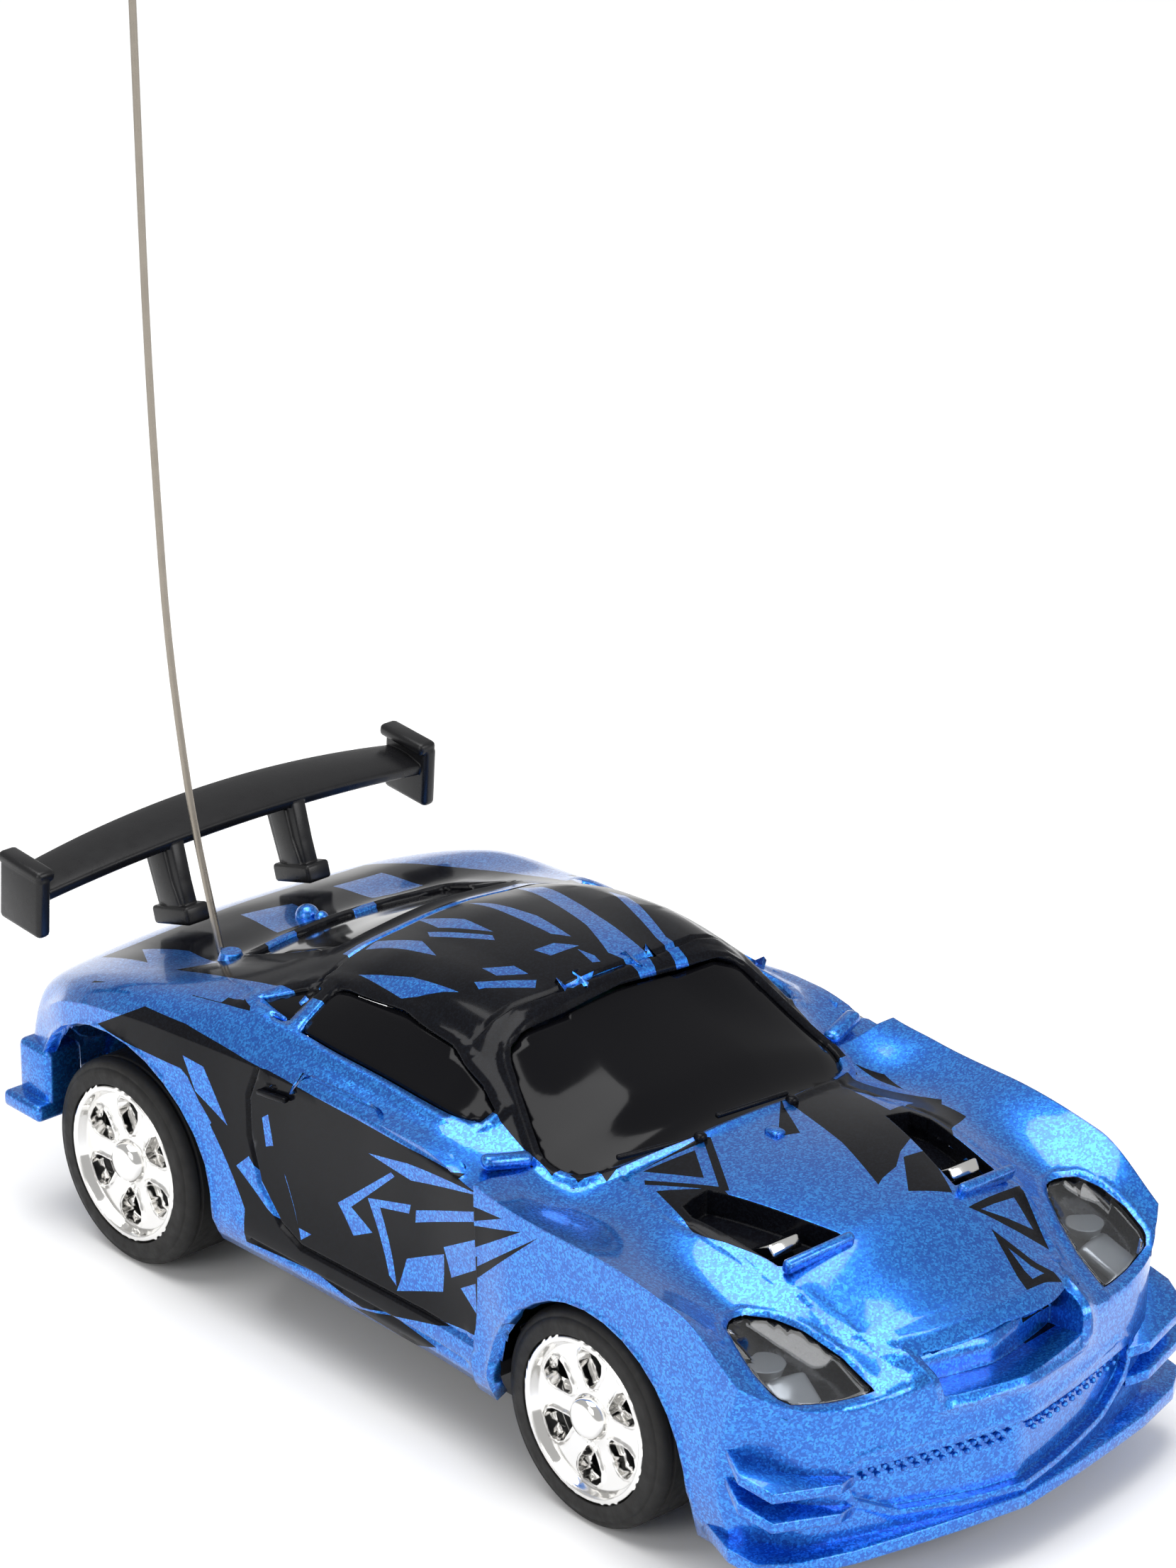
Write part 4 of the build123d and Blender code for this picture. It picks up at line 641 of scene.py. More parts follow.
# Outlines on the body: (x, y) seen from above, (y, z) from the side, (x, z) from an end.
bodyLines = {
    "windshield": [(-12.3, -10.0), (-11.6, -11.8), (-9.4, -13.1), (-3.9, -14.3),
                   (0.0, -14.5), (3.9, -14.3), (9.4, -13.1), (11.6, -11.8), (12.3, -10.0), (9.9, -3.8),
                   (8.6, -3.3), (0.0, -3.0), (-8.6, -3.3), (-9.9, -3.8)],
    "rearWindow": [(-7.9, 15.6), (7.9, 15.6), (8.4, 24.4), (4.5, 25.2), (0.0, 25.4),
                   (-4.5, 25.2), (-8.4, 24.4)],
    "frontSide": [(-5.3, 20.95), (11.4, 21.75), (11.4, 23.7), (10.0, 24.0), (4.6, 24.45),
                  (-0.5, 23.85), (-3.9, 22.5), (-5.5, 21.5)],
    "quarterSide": [(12.4, 21.8), (16.6, 21.9), (12.9, 23.3), (12.4, 23.45)],
    "sideFrame": [(-5.3, 20.95), (16.6, 21.9), (12.9, 23.3), (10.0, 24.0), (4.6, 24.45),
                  (-0.5, 23.85), (-3.9, 22.5), (-5.5, 21.5)],
    "lamp": [(9.7, -36.9), (12.5, -36.0), (15.0, -35.3), (15.8, -34.5), (15.9, -32.6),
             (15.5, -30.8), (14.9, -29.3), (13.9, -28.5), (12.9, -28.6), (11.8, -29.9),
             (10.8, -31.8), (10.0, -34.2)],
    "vent": [(4.8, -28.6), (9.3, -28.0), (10.1, -21.0), (9.7, -19.7), (7.6, -19.6)],
    "grille": [(-6.4, 15.0), (0.0, 15.35), (6.4, 15.0), (5.8, 12.5), (0.0, 12.6),
               (-5.8, 12.5)],
    "intake": [(-10.6, 9.9), (-5.0, 9.7), (0.0, 9.65), (5.0, 9.7), (10.6, 9.9),
               (12.2, 9.2), (11.6, 7.2), (8.8, 5.8), (3.0, 5.3), (-3.0, 5.3), (-8.8, 5.8),
               (-11.6, 7.2), (-12.2, 9.2)],
    "diffuser": [(-9.5, 9.2), (-8.4, 10.6), (8.4, 10.6), (9.5, 9.2)],
    "frontArch": (fore(-1.2), 6.6, 9.0),
    "rearArch": (aft(0.0), 7.0, 10.15),
}
# The livery: black fields and stripes, then blue shards over them.
blackTop = [
    [(-12.6, fore(8.2)), (12.6, fore(8.2)), (12.4, aft(0.0)), (-12.4, aft(0.0))],
    [(-12.4, aft(0.0)), (12.4, aft(0.0)), (11.5, aft(9.5)), (-11.5, aft(9.5))], [(-8.5, -14.8),
    (-4.9, -15.6), (-6.8, -18.5)], [(-3.6, -14.9), (-3.2, -15.2), (-6.8, -20.8), (-7.2, -20.4)],
    [(-9.1, -15.6), (-6.9, -20.0), (-7.1, -20.5), (-9.4, -16.0)], [(-8.6, -14.6), (-3.6, -14.9),
    (-3.7, -15.3)], [(-11.7, -11.6), (-9.8, -12.5), (-10.6, -12.7), (-11.7, -12.4)],
    [(-10.3, -12.4), (-9.0, -13.4), (-10.4, -13.6)], [(-9.5, -17.1), (-10.9, -22.0),
    (-9.2, -27.6), (-6.9, -20.3)], [(3.9, -14.6), (9.4, -12.9), (8.6, -19.2), (2.3, -21.2)],
    [(2.3, -21.2), (8.6, -19.2), (6.6, -22.9), (0.5, -26.3)], [(8.3, -19.1), (13.2, -17.6),
    (13.1, -21.3), (10.7, -22.4)], [(8.3, -19.1), (10.7, -22.4), (7.8, -25.8)], [(4.3, -24.6),
    (6.5, -24.5), (4.1, -29.1), (1.6, -27.8)], [(0.6, -26.1), (5.0, -23.7), (3.0, -25.3)],
    [(4.2, -30.4), (9.9, -29.2), (7.8, -33.9)], [(4.5, -32.1), (6.3, -36.5), (2.9, -36.8)],
    [(11.0, -12.6), (13.7, -18.5), (12.8, -19.4), (7.9, -14.0)], [(12.8, -11.4), (13.8, -13.2),
    (13.2, -15.6)], [(3.5, -14.4), (1.2, -18.6), (-0.2, -18.1)],
]
blueTop = [
    [(5.0, -30.7), (8.5, -30.1), (7.9, -32.4)], [(4.5, -33.6), (5.3, -35.9), (4.1, -36.1)],
    [(5.5, 13.2), (6.4, 11.6), (4.5, 3.7), (2.9, 3.3)], [(2.9, 3.3), (4.5, 3.7), (3.1, -3.6),
    (2.0, -3.6), (1.3, -0.6)], [(8.5, 7.5), (8.8, 6.1), (6.0, -0.9), (5.4, -0.6), (6.7, 3.0)],
    [(5.4, -0.6), (6.0, -0.9), (5.9, -3.6), (4.8, -3.6)], [(0.8, 12.5), (1.3, 11.1), (1.6, 6.7),
    (0.5, 8.3)], [(0.5, 8.3), (1.6, 6.7), (0.9, 2.5), (0.2, 3.7)], [(-2.8, 13.6), (-1.8, 9.9),
    (-2.1, 6.7), (-3.6, 10.4)], [(-6.6, 13.0), (-5.7, 9.5), (-6.8, 6.8), (-7.8, 12.7)],
    [(-4.4, 10.5), (-2.5, 6.3), (-2.9, 5.6), (-4.9, 9.7)], [(-2.2, 2.6), (-0.6, 2.5), (0.4, 1.2),
    (-1.9, 1.3)], [(0.0, 0.9), (0.3, -0.4), (0.1, -1.2), (-0.4, -1.0)], [(-6.2, 3.0), (-4.5, 1.9),
    (-4.5, 0.5), (-6.2, 1.6)], [(-7.8, 1.9), (-4.6, -0.4), (-5.3, -1.1), (-8.1, 1.1)],
    [(-3.4, -1.8), (-1.0, -1.8), (-1.6, -2.1), (-3.2, -2.3)], [(-10.3, 10.4), (-9.4, 6.0),
    (-9.0, 2.0), (-10.9, 5.4)], [(-8.4, 14.3), (0.0, 13.9), (0.0, 13.0), (-8.6, 13.2)],
    [(0.0, 13.9), (8.4, 14.9), (8.4, 14.0), (0.0, 13.0)], [(5.2, aft(1.0)), (9.0, aft(0.2)),
    (9.6, aft(5.4)), (5.8, aft(6.0))], [(-3.4, aft(0.6)), (0.2, aft(0.2)), (1.4, aft(5.0)),
    (-1.8, aft(6.6))], [(-9.7, aft(7.3)), (-8.7, aft(3.4)), (-9.6, aft(-0.9)), (-13.9, aft(0.7))],
    [(1.6, aft(-1.2)), (3.6, aft(-0.9)), (3.0, aft(-3.2)), (1.2, aft(-3.4))], [(-6.0, aft(-1.0)),
    (-3.4, aft(-1.2)), (-3.8, aft(-3.2)), (-6.4, aft(-3.0))],
]
blackSide = [
    [(-9.6, 19.4), (-9.6, 9.2), (6.7, 7.0), (13.6, 6.6), (13.6, 19.6)], [(-0.9, 8.8), (6.7, 7.0),
    (2.0, 6.4), (-6.9, 8.6)], [(13.6, 19.6), (13.6, 9.0), (19.0, 16.6), (19.8, 19.9)],
    [(19.0, 16.6), (24.0, 17.0), (28.5, 17.0), (24.0, 19.7)], [(19.0, 16.6), (24.0, 19.7),
    (19.8, 19.9)], [(-9.3, 18.3), (-12.6, 18.7), (-9.2, 17.1)], [(-9.3, 16.9), (-14.4, 18.5),
    (-9.4, 15.3)], [(-16.1, 18.8), (-9.7, 14.1), (-10.0, 13.5), (-13.1, 16.2)], [(-9.4, 14.8),
    (-10.0, 15.0), (-9.9, 9.8), (-9.4, 10.9)], [(3.4, 5.9), (-2.6, 5.4), (-5.4, 6.6),
    (-1.0, 7.0)], [(24.0, 21.2), (17.0, 22.4), (15.6, 21.7), (27.6, 19.9)], [(24.0, 21.2),
    (27.6, 19.9), (31.0, 18.6), (30.0, 20.0)],
]
blueSide = [
    [(11.0, 17.5), (10.1, 17.2), (8.3, 9.5), (8.0, 8.9), (9.9, 12.6)], [(8.3, 9.6), (7.1, 9.6),
    (8.0, 8.9)], [(12.0, 16.1), (11.4, 16.5), (11.0, 14.4), (11.7, 14.1)], [(14.6, 11.7),
    (13.4, 12.8), (9.9, 9.2), (11.5, 9.8)], [(1.4, 17.5), (-2.5, 18.3), (-10.2, 19.1),
    (-2.8, 17.2)], [(4.7, 12.7), (-0.8, 17.0), (-1.1, 16.8), (3.4, 12.9)], [(4.7, 12.7),
    (3.4, 12.9), (1.3, 11.9), (3.1, 11.0)], [(-3.1, 15.2), (-9.6, 17.8), (-9.6, 17.1),
    (-3.0, 14.3)], [(1.7, 14.2), (-2.6, 15.4), (-2.4, 14.7), (0.5, 14.0)], [(1.7, 14.2),
    (0.5, 14.0), (-1.4, 9.3), (-0.6, 9.7)], [(-2.1, 11.4), (-5.8, 13.2), (-5.8, 10.6),
    (-1.5, 9.0)], [(-5.8, 13.7), (-9.6, 15.9), (-9.6, 13.8), (-6.6, 11.9)], [(19.4, 18.0),
    (17.5, 17.8), (15.4, 14.3), (18.3, 15.8)], [(19.8, 14.4), (17.9, 15.1), (16.9, 14.0),
    (18.0, 12.3)], [(-7.6, 11.6), (-9.2, 12.6), (-9.4, 10.6)],
]
# Grooves and ridges as (path, width, depth).
panelLines = {
    "top": [
        ([(-10.2, -1.5), (-5.0, -1.95), (0.0, -2.1), (5.0, -1.95), (10.2, -1.5)], 0.55, 0.28),
        ([(-12.5, 12.9), (-8.8, 13.4), (0.0, 13.5), (8.8, 13.4), (12.5, 12.9)], 0.5, 0.28),
    ],
    "side": [
        ([(12.4, 19.3), (13.3, 17.2), (13.3, 14.3), (12.3, 11.2), (10.1, 9.2), (7.9, 8.4),
          (-0.9, 8.5), (-9.6, 8.6)], 0.5, 0.28),
        ([(-9.6, 8.6), (-9.7, 12.0), (-9.5, 18.0)], 0.45, 0.25),
        ([(13.0, 6.9), (-8.6, 6.9)], 0.6, 0.22),
        ([(11.6, 19.6), (1.5, 19.9), (-7.6, 19.4)], 0.4, 0.16),
    ],
    "hood": [
        ([(9.3, -13.8), (10.9, -20.0), (10.2, -28.5)], 0.6, 0.1),
        ([(9.6, -29.8), (8.5, -33.2), (7.3, -36.6)], 0.9, -0.16),
    ],
}


def archRim(y, z, radius):
    angles = [a * math.pi / 16 for a in range(17)]
    return [(y + radius * math.cos(a), z + radius * math.sin(a)) for a in angles]


def archOutline(y, z, radius):
    return archRim(y, z, radius) + [(y - radius, 0.0), (y + radius, 0.0)]


def onTop(face):
    return face.normal.z > 0.3 and face.calc_center_median().z > 11.5


def onSide(side):
    return lambda face: face.normal.x * side > 0.3 and face.calc_center_median().x * side > 9.0


def onNose(face):
    return face.normal.y < -0.2 and face.calc_center_median().y < fore(-15.5)


def onTail(face):
    return face.normal.y > 0.5 and face.calc_center_median().y > aft(9.0)


topView = (acrossAxis, alongAxis, onTop)
noseView = (acrossAxis, upAxis, onNose)
tailView = (acrossAxis, upAxis, onTail)


def sideView(side):
    return alongAxis, upAxis, onSide(side)


surface = bodySurface()


# The body form's height at a place seen from above, found by halving.
def formHeight(x, y):
    low, high = 4.0, 7.0
    for _ in range(24):
        middle = (low + high) / 2
        if bentPoint(y, middle).x > abs(x):
            low = middle
        else:
            high = middle
    return bentPoint(y, low).z


def paintShards(bm):
    views = [(topView, blackTop, blueTop)]
    views += [(sideView(side), blackSide, blueSide) for side in sides.values()]
    for view, black, blue in views:
        for color, outlines in ((1, black), (0, blue)):
            for outline in outlines:
                for face in knife(bm, outline, view):
                    face.material_index = color


def closed(outline):
    return outline + outline[:1]


def ridgeAround(bm, outline, view, width, height):
    carve(bm, closed(grown(outline, width * 0.4)), width, -height, view)


def cutOpening(bm, outline, view):
    bmesh.ops.delete(bm, context="FACES", geom=knife(bm, outline, view))


# Corner radius of an opening, then the width and height of its ridge.
openings = {"pane": (0.9, 1.0, 0.22), "side": (0.45, 0.8, 0.16), "arch": (0.0, 0.7, 0.12)}


def cutOpenings(bm):
    panes = [bodyLines["windshield"], bodyLines["rearWindow"]]
    radius, width, height = openings["pane"]
    for outline in panes:
        ridgeAround(bm, roundOutline(outline, radius, 2), topView, width, height)
    for outline in panes:
        cutOpening(bm, roundOutline(outline, radius, 3), topView)
    for view in [sideView(side) for side in sides.values()]:
        radius, width, height = openings["side"]
        ridgeAround(bm, bodyLines["sideFrame"], view, width, height)
        for name in ("frontSide", "quarterSide"):
            cutOpening(bm, roundOutline(bodyLines[name], radius, 3), view)
        _, width, height = openings["arch"]
        for name in ("frontArch", "rearArch"):
            carve(bm, archRim(*bodyLines[name]), width, -height, view)
            cutOpening(bm, archOutline(*bodyLines[name]), view)


def carvePanelLines(bm):
    for line in panelLines["top"]:
        carve(bm, *line, topView)
    for side in sides.values():
        for line in panelLines["side"]:
            carve(bm, *line, sideView(side))
        for path, width, depth in panelLines["hood"]:
            carve(bm, mirrored(path, side), width, depth, topView)


# The front fender swells towards its back edge and ends in a step before the door.
fenderStep = {"front": -20.0, "back": -9.75, "length": 0.14, "inner": 12.6, "ramp": 3.4,
              "widen": 0.42, "lift": 0.75}


def stepFenders(bm):
    front, back, inner = fenderStep["front"], fenderStep["back"], fenderStep["inner"]
    for y in (back, back + fenderStep["length"]):
        near = [face for face in bm.faces if abs(face.calc_center_median().y - back) < 1.2
                and abs(face.calc_center_median().x) > 11.0]
        bmesh.ops.bisect_plane(bm, geom=faceGeometry(near), dist=mesh["snap"],
                               plane_co=(0, y, 0), plane_no=(0, 1, 0))
    for vert in bm.verts:
        side = 1 if vert.co.x > 0 else -1
        if front < vert.co.y < back + 0.01 and abs(vert.co.x) > inner and vert.co.z > 4.0:
            share = ((vert.co.y - front) / (back - front)) ** 2
            flank = min(max((abs(vert.co.x) - inner) / fenderStep["ramp"], 0.0), 1.0)
            under = min(max((21.0 - vert.co.z) / 2, 0.0), 1.0)
            vert.co.x += side * share * fenderStep["widen"] * flank * under
            over = min(max((vert.co.z - 14.5) / 4.0, 0.0), 1.0)
            vert.co.z += share * fenderStep["lift"] * flank * over


# Each smoothing pass starts a stride nearer to the end, so the edge there rounds off.
soften = {"passes": 7, "stride": 0.42, "lowest": 6.0}


def softenEnds(bm):
    for y, way in ((fore(-17.2), -1), (aft(9.4), 1)):
        for step in range(soften["passes"]):
            near = [vert for vert in bm.verts if (vert.co.y - y) * way > step * soften["stride"]
                    and vert.co.z > soften["lowest"]]
            bmesh.ops.smooth_vert(bm, verts=near, factor=0.5, use_axis_x=True, use_axis_y=True,
                                  use_axis_z=True)


# Ridge width and height, corner radius, and the way the floor is sunk.
noseOpenings = {"grille": (1.3, 0.32, 0.5, (0, 2.8, -0.3)), "intake": (0.7, 0.12, 0.7, (0, 0.7, 0))}


def finishNose(bm):
    for name, (width, height, radius, move) in noseOpenings.items():
        ridgeAround(bm, bodyLines[name], noseView, width, height)
        sink(bm, knife(bm, roundOutline(bodyLines[name], radius), noseView), move)


def darken(faces):
    for face in faces:
        face.material_index = 1
        for edge in face.edges:
            for near in edge.link_faces:
                near.material_index = 1

# How each pocket's floor is sunk; the tail lamp is (x, z, half width, half height).
pockets = {
    "lampMove": (-0.5, 0.9, -1.3),
    "lampRidge": (0.35, 0.7, 0.12),
    "ventMove": (0, 0, -1.7),
    "tailLamp": (11.0, 12.6, 1.5, 1.3),
    "tailLampMove": (0, -0.5, 0),
    "diffuserMove": (0, -0.6, 0),
}


def finishPockets(bm):
    gap, width, height = pockets["lampRidge"]
    x, y, z = pockets["lampMove"]
    middle, level, halfWidth, halfHeight = pockets["tailLamp"]
    angles = [a * math.pi / 8 for a in range(16)]
    ring = [(middle + halfWidth * math.cos(a), level + halfHeight * math.sin(a)) for a in angles]
    for side in sides.values():
        lamp = mirrored(bodyLines["lamp"], side)
        carve(bm, closed(grown(lamp, gap)), width, -height, topView)
        darken(sink(bm, knife(bm, roundOutline(lamp, 0.5, 3), topView), (x * side, y, z)))
        vent = mirrored(roundOutline(bodyLines["vent"], 0.3, 3), side)
        darken(sink(bm, knife(bm, vent, topView), pockets["ventMove"]))
        sink(bm, knife(bm, mirrored(ring, side), tailView), pockets["tailLampMove"])
    sink(bm, knife(bm, bodyLines["diffuser"], tailView), pockets["diffuserMove"])


# The two corner fins and the splitter below the nose.
fins = {
    "levels": (12.1, 10.1),
    "corner": [(17.2, -30.6, 0), (18.45, -34.2, -1.8), (17.7, -36.4, -2.5), (13.2, -37.6, -3.0),
               (11.6, -37.1, -3.2), (13.4, -35.4, -2.9), (16.4, -33.0, -1.5)],
    "drop": -0.7,
    "splitter": [(17.3, -10.4, 5.2), (18.45, -14.2, 4.9), (18.2, -16.4, 4.7), (16.2, -17.8, 4.6),
                 (12.5, -18.9, 4.5), (9.0, -19.6, 4.5), (5.0, -20.3, 4.5), (0.0, -20.95, 4.5),
                 (0.0, -18.4, 4.7), (5.0, -18.0, 4.7), (10.0, -16.8, 4.7), (14.6, -14.6, 4.8),
                 (16.0, -10.6, 5.2)],
    "splitterDrop": -0.95,
}


def addFins(bm):
    for side in sides.values():
        for level in fins["levels"]:
            corners = [(x * side, y, level + z) for x, y, z in fins["corner"]]
            addPlate(bm, corners, (0, 0, fins["drop"]))
        corners = [(x * side, fore(y), z) for x, y, z in fins["splitter"]]
        addPlate(bm, corners, (0, 0, fins["splitterDrop"]))


# Blocks on both sides: size, place on the left, turn, bevel, material. Those that stand on
# the body form have their lift above it in place of a height.
sideBlocks = {
    "fenderCap": ((3.4, 1.2, 1.0), (14.3, -8.7, 19.9), (0, -8, 16), 0.45, 0),
    "doorHandle": ((0.5, 2.9, 0.4), (17.35, 10.6, 18.2), (-8, 0, 0), 0.15, 1),
    "sideScoop": ((2.4, 4.6, 2.8), (16.4, 15.1, 8.1), (16, 0, 0), 1.1, 0),
    "tailCorner": ((3.0, 3.4, 4.4), (15.8, 36.6, 10.2), (0, 0, 0), 0.5, 0),
    "tailFoot": ((3.6, 4.0, 1.2), (16.5, 36.8, 8.0), (0, 0, 0), 0.35, 0),
    "grilleBar": ((0.45, 0.5, 1.6), (2.2, fore(-16.4), 13.6), (20, 0, 0), 0.1, 0),
}
formBlocks = {
    "ventBridge": ((5.2, 0.7, 1.0), (7.1, -29.0, 0.1), (18, 7, 4), 0.28, 0),
    "ventInsert": ((2.4, 2.6, 0.9), (7.6, -25.6, -1.25), (-30, 0, 0), 0.15, 2),
}
grilleBeads = {"rows": (9.3, 8.8, 8.3), "count": 12, "first": 0.45, "step": 0.85, "shift": 0.42,
               "radius": 0.24, "inset": 0.32}
wipers = {"places": ((-6.6, 12), (1.2, 6)), "arm": (5.6, 0.35, 0.35), "pivot": (0.8, 0.8, 0.8)}
antennaBase = {"x": -8.45, "y": 26.0, "low": 1.0, "high": 0.7, "depth": 0.8, "lift": 0.1}


def addOn(bm, size, place, turn, bevel, material):
    x, y, lift = place
    addBlock(bm, size, (x, y, formHeight(x, y) + lift), turn, bevel, material)


def addTrim(bm):
    for side in sides.values():
        for add, blocks in ((addBlock, sideBlocks), (addOn, formBlocks)):
            for size, (x, y, z), turn, bevel, material in blocks.values():
                sideTurn = (turn[0], turn[1] * side, turn[2] * side)
                add(bm, size, (x * side, y, z), sideTurn, bevel, material)
        for row, level in enumerate(grilleBeads["rows"]):
            for step in range(grilleBeads["count"]):
                x = grilleBeads["first"] + step * grilleBeads["step"] + row * grilleBeads["shift"]
                place = (x * side, noseCurve(x) + grilleBeads["inset"], level)
                bmesh.ops.create_icosphere(bm, subdivisions=1, radius=grilleBeads["radius"],
                                           matrix=Matrix.Translation(place))
    for x, turn in wipers["places"]:
        place = (x, -14.3 + abs(x) * 0.06, 0.35)
        addOn(bm, wipers["arm"], place, (0, 0, -turn), 0.12, 1)
        addOn(bm, wipers["pivot"], (x + 2.8, -14.9, 0.1), (0, 0, 0), 0.3, 1)
    addOn(bm, (0.9, 1.2, 0.5), (0.0, -17.6, 0.05), (0, 0, 0), 0.2, 0)  # washer jet
    for y, radius in ((28.4, 0.85), (26.9, 0.5)):  # studs on the deck
        bmesh.ops.create_uvsphere(bm, u_segments=20, v_segments=12, radius=radius,
                                  matrix=Matrix.Translation((0, y, formHeight(0, y))))
    x, y = antennaBase["x"], antennaBase["y"]
    place = (x, y, formHeight(x, y) + antennaBase["lift"])
    addCone(bm, antennaBase["low"], antennaBase["high"], antennaBase["depth"], place)


def addCone(bm, low, high, depth, place):
    bmesh.ops.create_cone(bm, cap_ends=True, segments=32, radius1=low, radius2=high, depth=depth,
                          matrix=Matrix.Translation(place))
def buildShell():
    bm = surface.copy()
    softenEnds(bm)
    carvePanelLines(bm)
    stepFenders(bm)
    cutOpenings(bm)
    finishNose(bm)
    finishPockets(bm)
    paintShards(bm)
    bmesh.ops.dissolve_degenerate(bm, edges=bm.edges, dist=0.01)
    makePiece("bodyShell", bm, "chassis", ["bluePaint", "blackPaint"],
              ["body_shell"], solid=car["wall"])
    bm = bmesh.new()
    addFins(bm)
    addTrim(bm)
    makePiece("bodyTrim", bm, "chassis", ["bluePaint", "blackPaint", "chrome"])


buildShell()
print("body shell ready")


# Windows and lenses are cut from the body form with a small gap, then set a little deeper.
paneGap = 0.06
panes = {"glass": (0.2, 0.8), "lens": (0.05, 0.45)}  # how deep they sit, and their thickness
lampBlock = {"size": (3.0, 3.4, 1.0), "x": 13.4, "y": -33.6, "z": 13.0, "turn": (24, 6, 12)}
lampCup = {"low": 1.0, "high": 1.3, "depth": 0.8, "x": 13.6, "y": -31.2, "z": 14.2}


def buildPane(name, outlines, view, material, replaced, kind):
    sunk, wall = panes[kind]
    bm = surface.copy()
    kept = set()
    for outline in outlines:
        kept.update(knife(bm, roundOutline(grown(outline, -paneGap), 0.6, 3), view))
    bmesh.ops.delete(bm, geom=[face for face in bm.faces if face not in kept], context="FACES")
    bm.normal_update()
    for vert, move in [(vert, vert.normal * -sunk) for vert in bm.verts]:
        vert.co += move
    for face in bm.faces:
        face.material_index = 0
    makePiece(name, bm, "chassis", [material], [replaced], solid=wall)

for name, title, replaced in (("windshield", "windshieldPane", "windshield"),
                              ("rearWindow", "rearPane", "rear_window")):
    buildPane(title, [bodyLines[name]], topView, "darkGlass", replaced, "glass")
for sideName, side in sides.items():
    title = sideName.capitalize()
    buildPane("sidePane" + title, [bodyLines["frontSide"], bodyLines["quarterSide"]],
              sideView(side), "darkGlass", "side_window_" + sideName, "glass")
    buildPane("lampLens" + title, [mirrored(bodyLines["lamp"], side)], topView,
              "clearLens", "headlight_lens_" + sideName, "lens")
    bm = bmesh.new()
    a, b, c = lampBlock["turn"]
    addBlock(bm, lampBlock["size"], (lampBlock["x"] * side, lampBlock["y"], lampBlock["z"]),
             (a, b * side, c * side), 0.4)
    addCone(bm, lampCup["low"], lampCup["high"], lampCup["depth"],
            (lampCup["x"] * side, lampCup["y"], lampCup["z"]))
    makePiece("lampBlock" + title, bm, "chassis", ["lampGrey"])
print("windows ready")


# The blade is a thin arched sheet; plates and blocks are (y, z) outlines and (size, place).
wing = {
    "halfSpan": 16.9, "frontY": 35.6, "backY": 39.4, "endZ": 23.5, "backZ": 23.9,
    "frontArch": 0.9, "backArch": 1.4, "sweep": 0.55, "camber": 0.25, "thickness": 0.9,
    "endPlate": (1.1, 4.5, 4.5), "endPlatePlace": (16.7, 37.5, 22.8),
    "endCap": (1.5, 4.6, 0.9), "endCapPlace": (16.5, 37.5, 25.0), "endTurn": (4, 0, 0),
    "postX": 5.25, "postWidth": 1.1, "sparWidth": 1.6,
    "post": [(33.9, 18.7), (37.2, 18.7), (39.6, 24.6), (35.7, 24.1), (34.9, 21.4)],
    "spar": [(34.5, 19.4), (36.8, 19.4), (38.4, 23.6), (36.3, 23.4), (35.6, 21.4)],
    "foot": (2.0, 4.0, 1.3), "footPlace": (35.5, 18.9), "footTurn": (-16, 0, 0),
}


def buildWing():
    bm = bmesh.new()
    made = bmesh.ops.create_grid(bm, x_segments=32, y_segments=5, size=1.0)
    for vert in made["verts"]:
        across, along = vert.co.x, vert.co.y * 0.5 + 0.5
        arch = 1 - across * across
        front = Vector((across * wing["halfSpan"], wing["frontY"],
                        wing["endZ"] + wing["frontArch"] * arch))
        back = Vector((front.x, wing["backY"] + wing["sweep"] * arch,
                       wing["backZ"] + wing["backArch"] * arch))
        vert.co = front.lerp(back, along)
        vert.co.z += wing["camber"] * math.sin(math.pi * along)
    bmesh.ops.recalc_face_normals(bm, faces=bm.faces)
    bmesh.ops.solidify(bm, geom=bm.faces[:], thickness=wing["thickness"])
    rims = [edge for edge in bm.edges
            if len(edge.link_faces) == 2 and edge.calc_face_angle(0) > 0.9]
    bmesh.ops.bevel(bm, geom=rims, offset=0.25, affect="EDGES", segments=3, profile=0.5,
                    material=-1)
    for side in sides.values():
        for name, bevel in (("endPlate", 0.4), ("endCap", 0.35)):
            x, y, z = wing[name + "Place"]
            addBlock(bm, wing[name], (x * side, y, z), wing["endTurn"], bevel)
        x = wing["postX"] * side
        for name, bevel in (("post", 0.15), ("spar", 0.12)):
            width = wing[name + "Width"]
            addPlate(bm, [(x - width / 2, y, z) for y, z in wing[name]], (width, 0, 0), bevel)
        addBlock(bm, wing["foot"], (x, *wing["footPlace"]), wing["footTurn"], 0.25)
    makePiece("rearWing", bm, "chassis", ["wingPlastic"], ["rear_wing"],
              recalc=True)


buildWing()
print("wing ready")


wheel = {"rim": 5.5, "tyre": 7.2, "face": 17.4, "frontWidth": 4.8, "rearWidth": 5.6, "turns": 96}
# The rim's face as (radius, depth), and the radii of the rings it is built on.
rimProfile = [(0.0, 0.05), (0.9, 0.02), (1.15, -0.02), (1.35, -0.25), (1.5, -0.75), (2.0, -0.85),
              (3.2, -0.8), (4.3, -0.75), (4.75, -0.7), (4.95, -0.25), (5.1, -0.02), (5.3, 0.0),
              (5.5, -0.12)]
rimRings = [0.0, 0.5, 0.9, 1.15, 1.35, 1.5, 1.75, 2.0, 2.4, 2.8, 3.2, 3.6, 4.0, 4.3, 4.55, 4.75,
            4.95, 5.1, 5.3, 5.5]
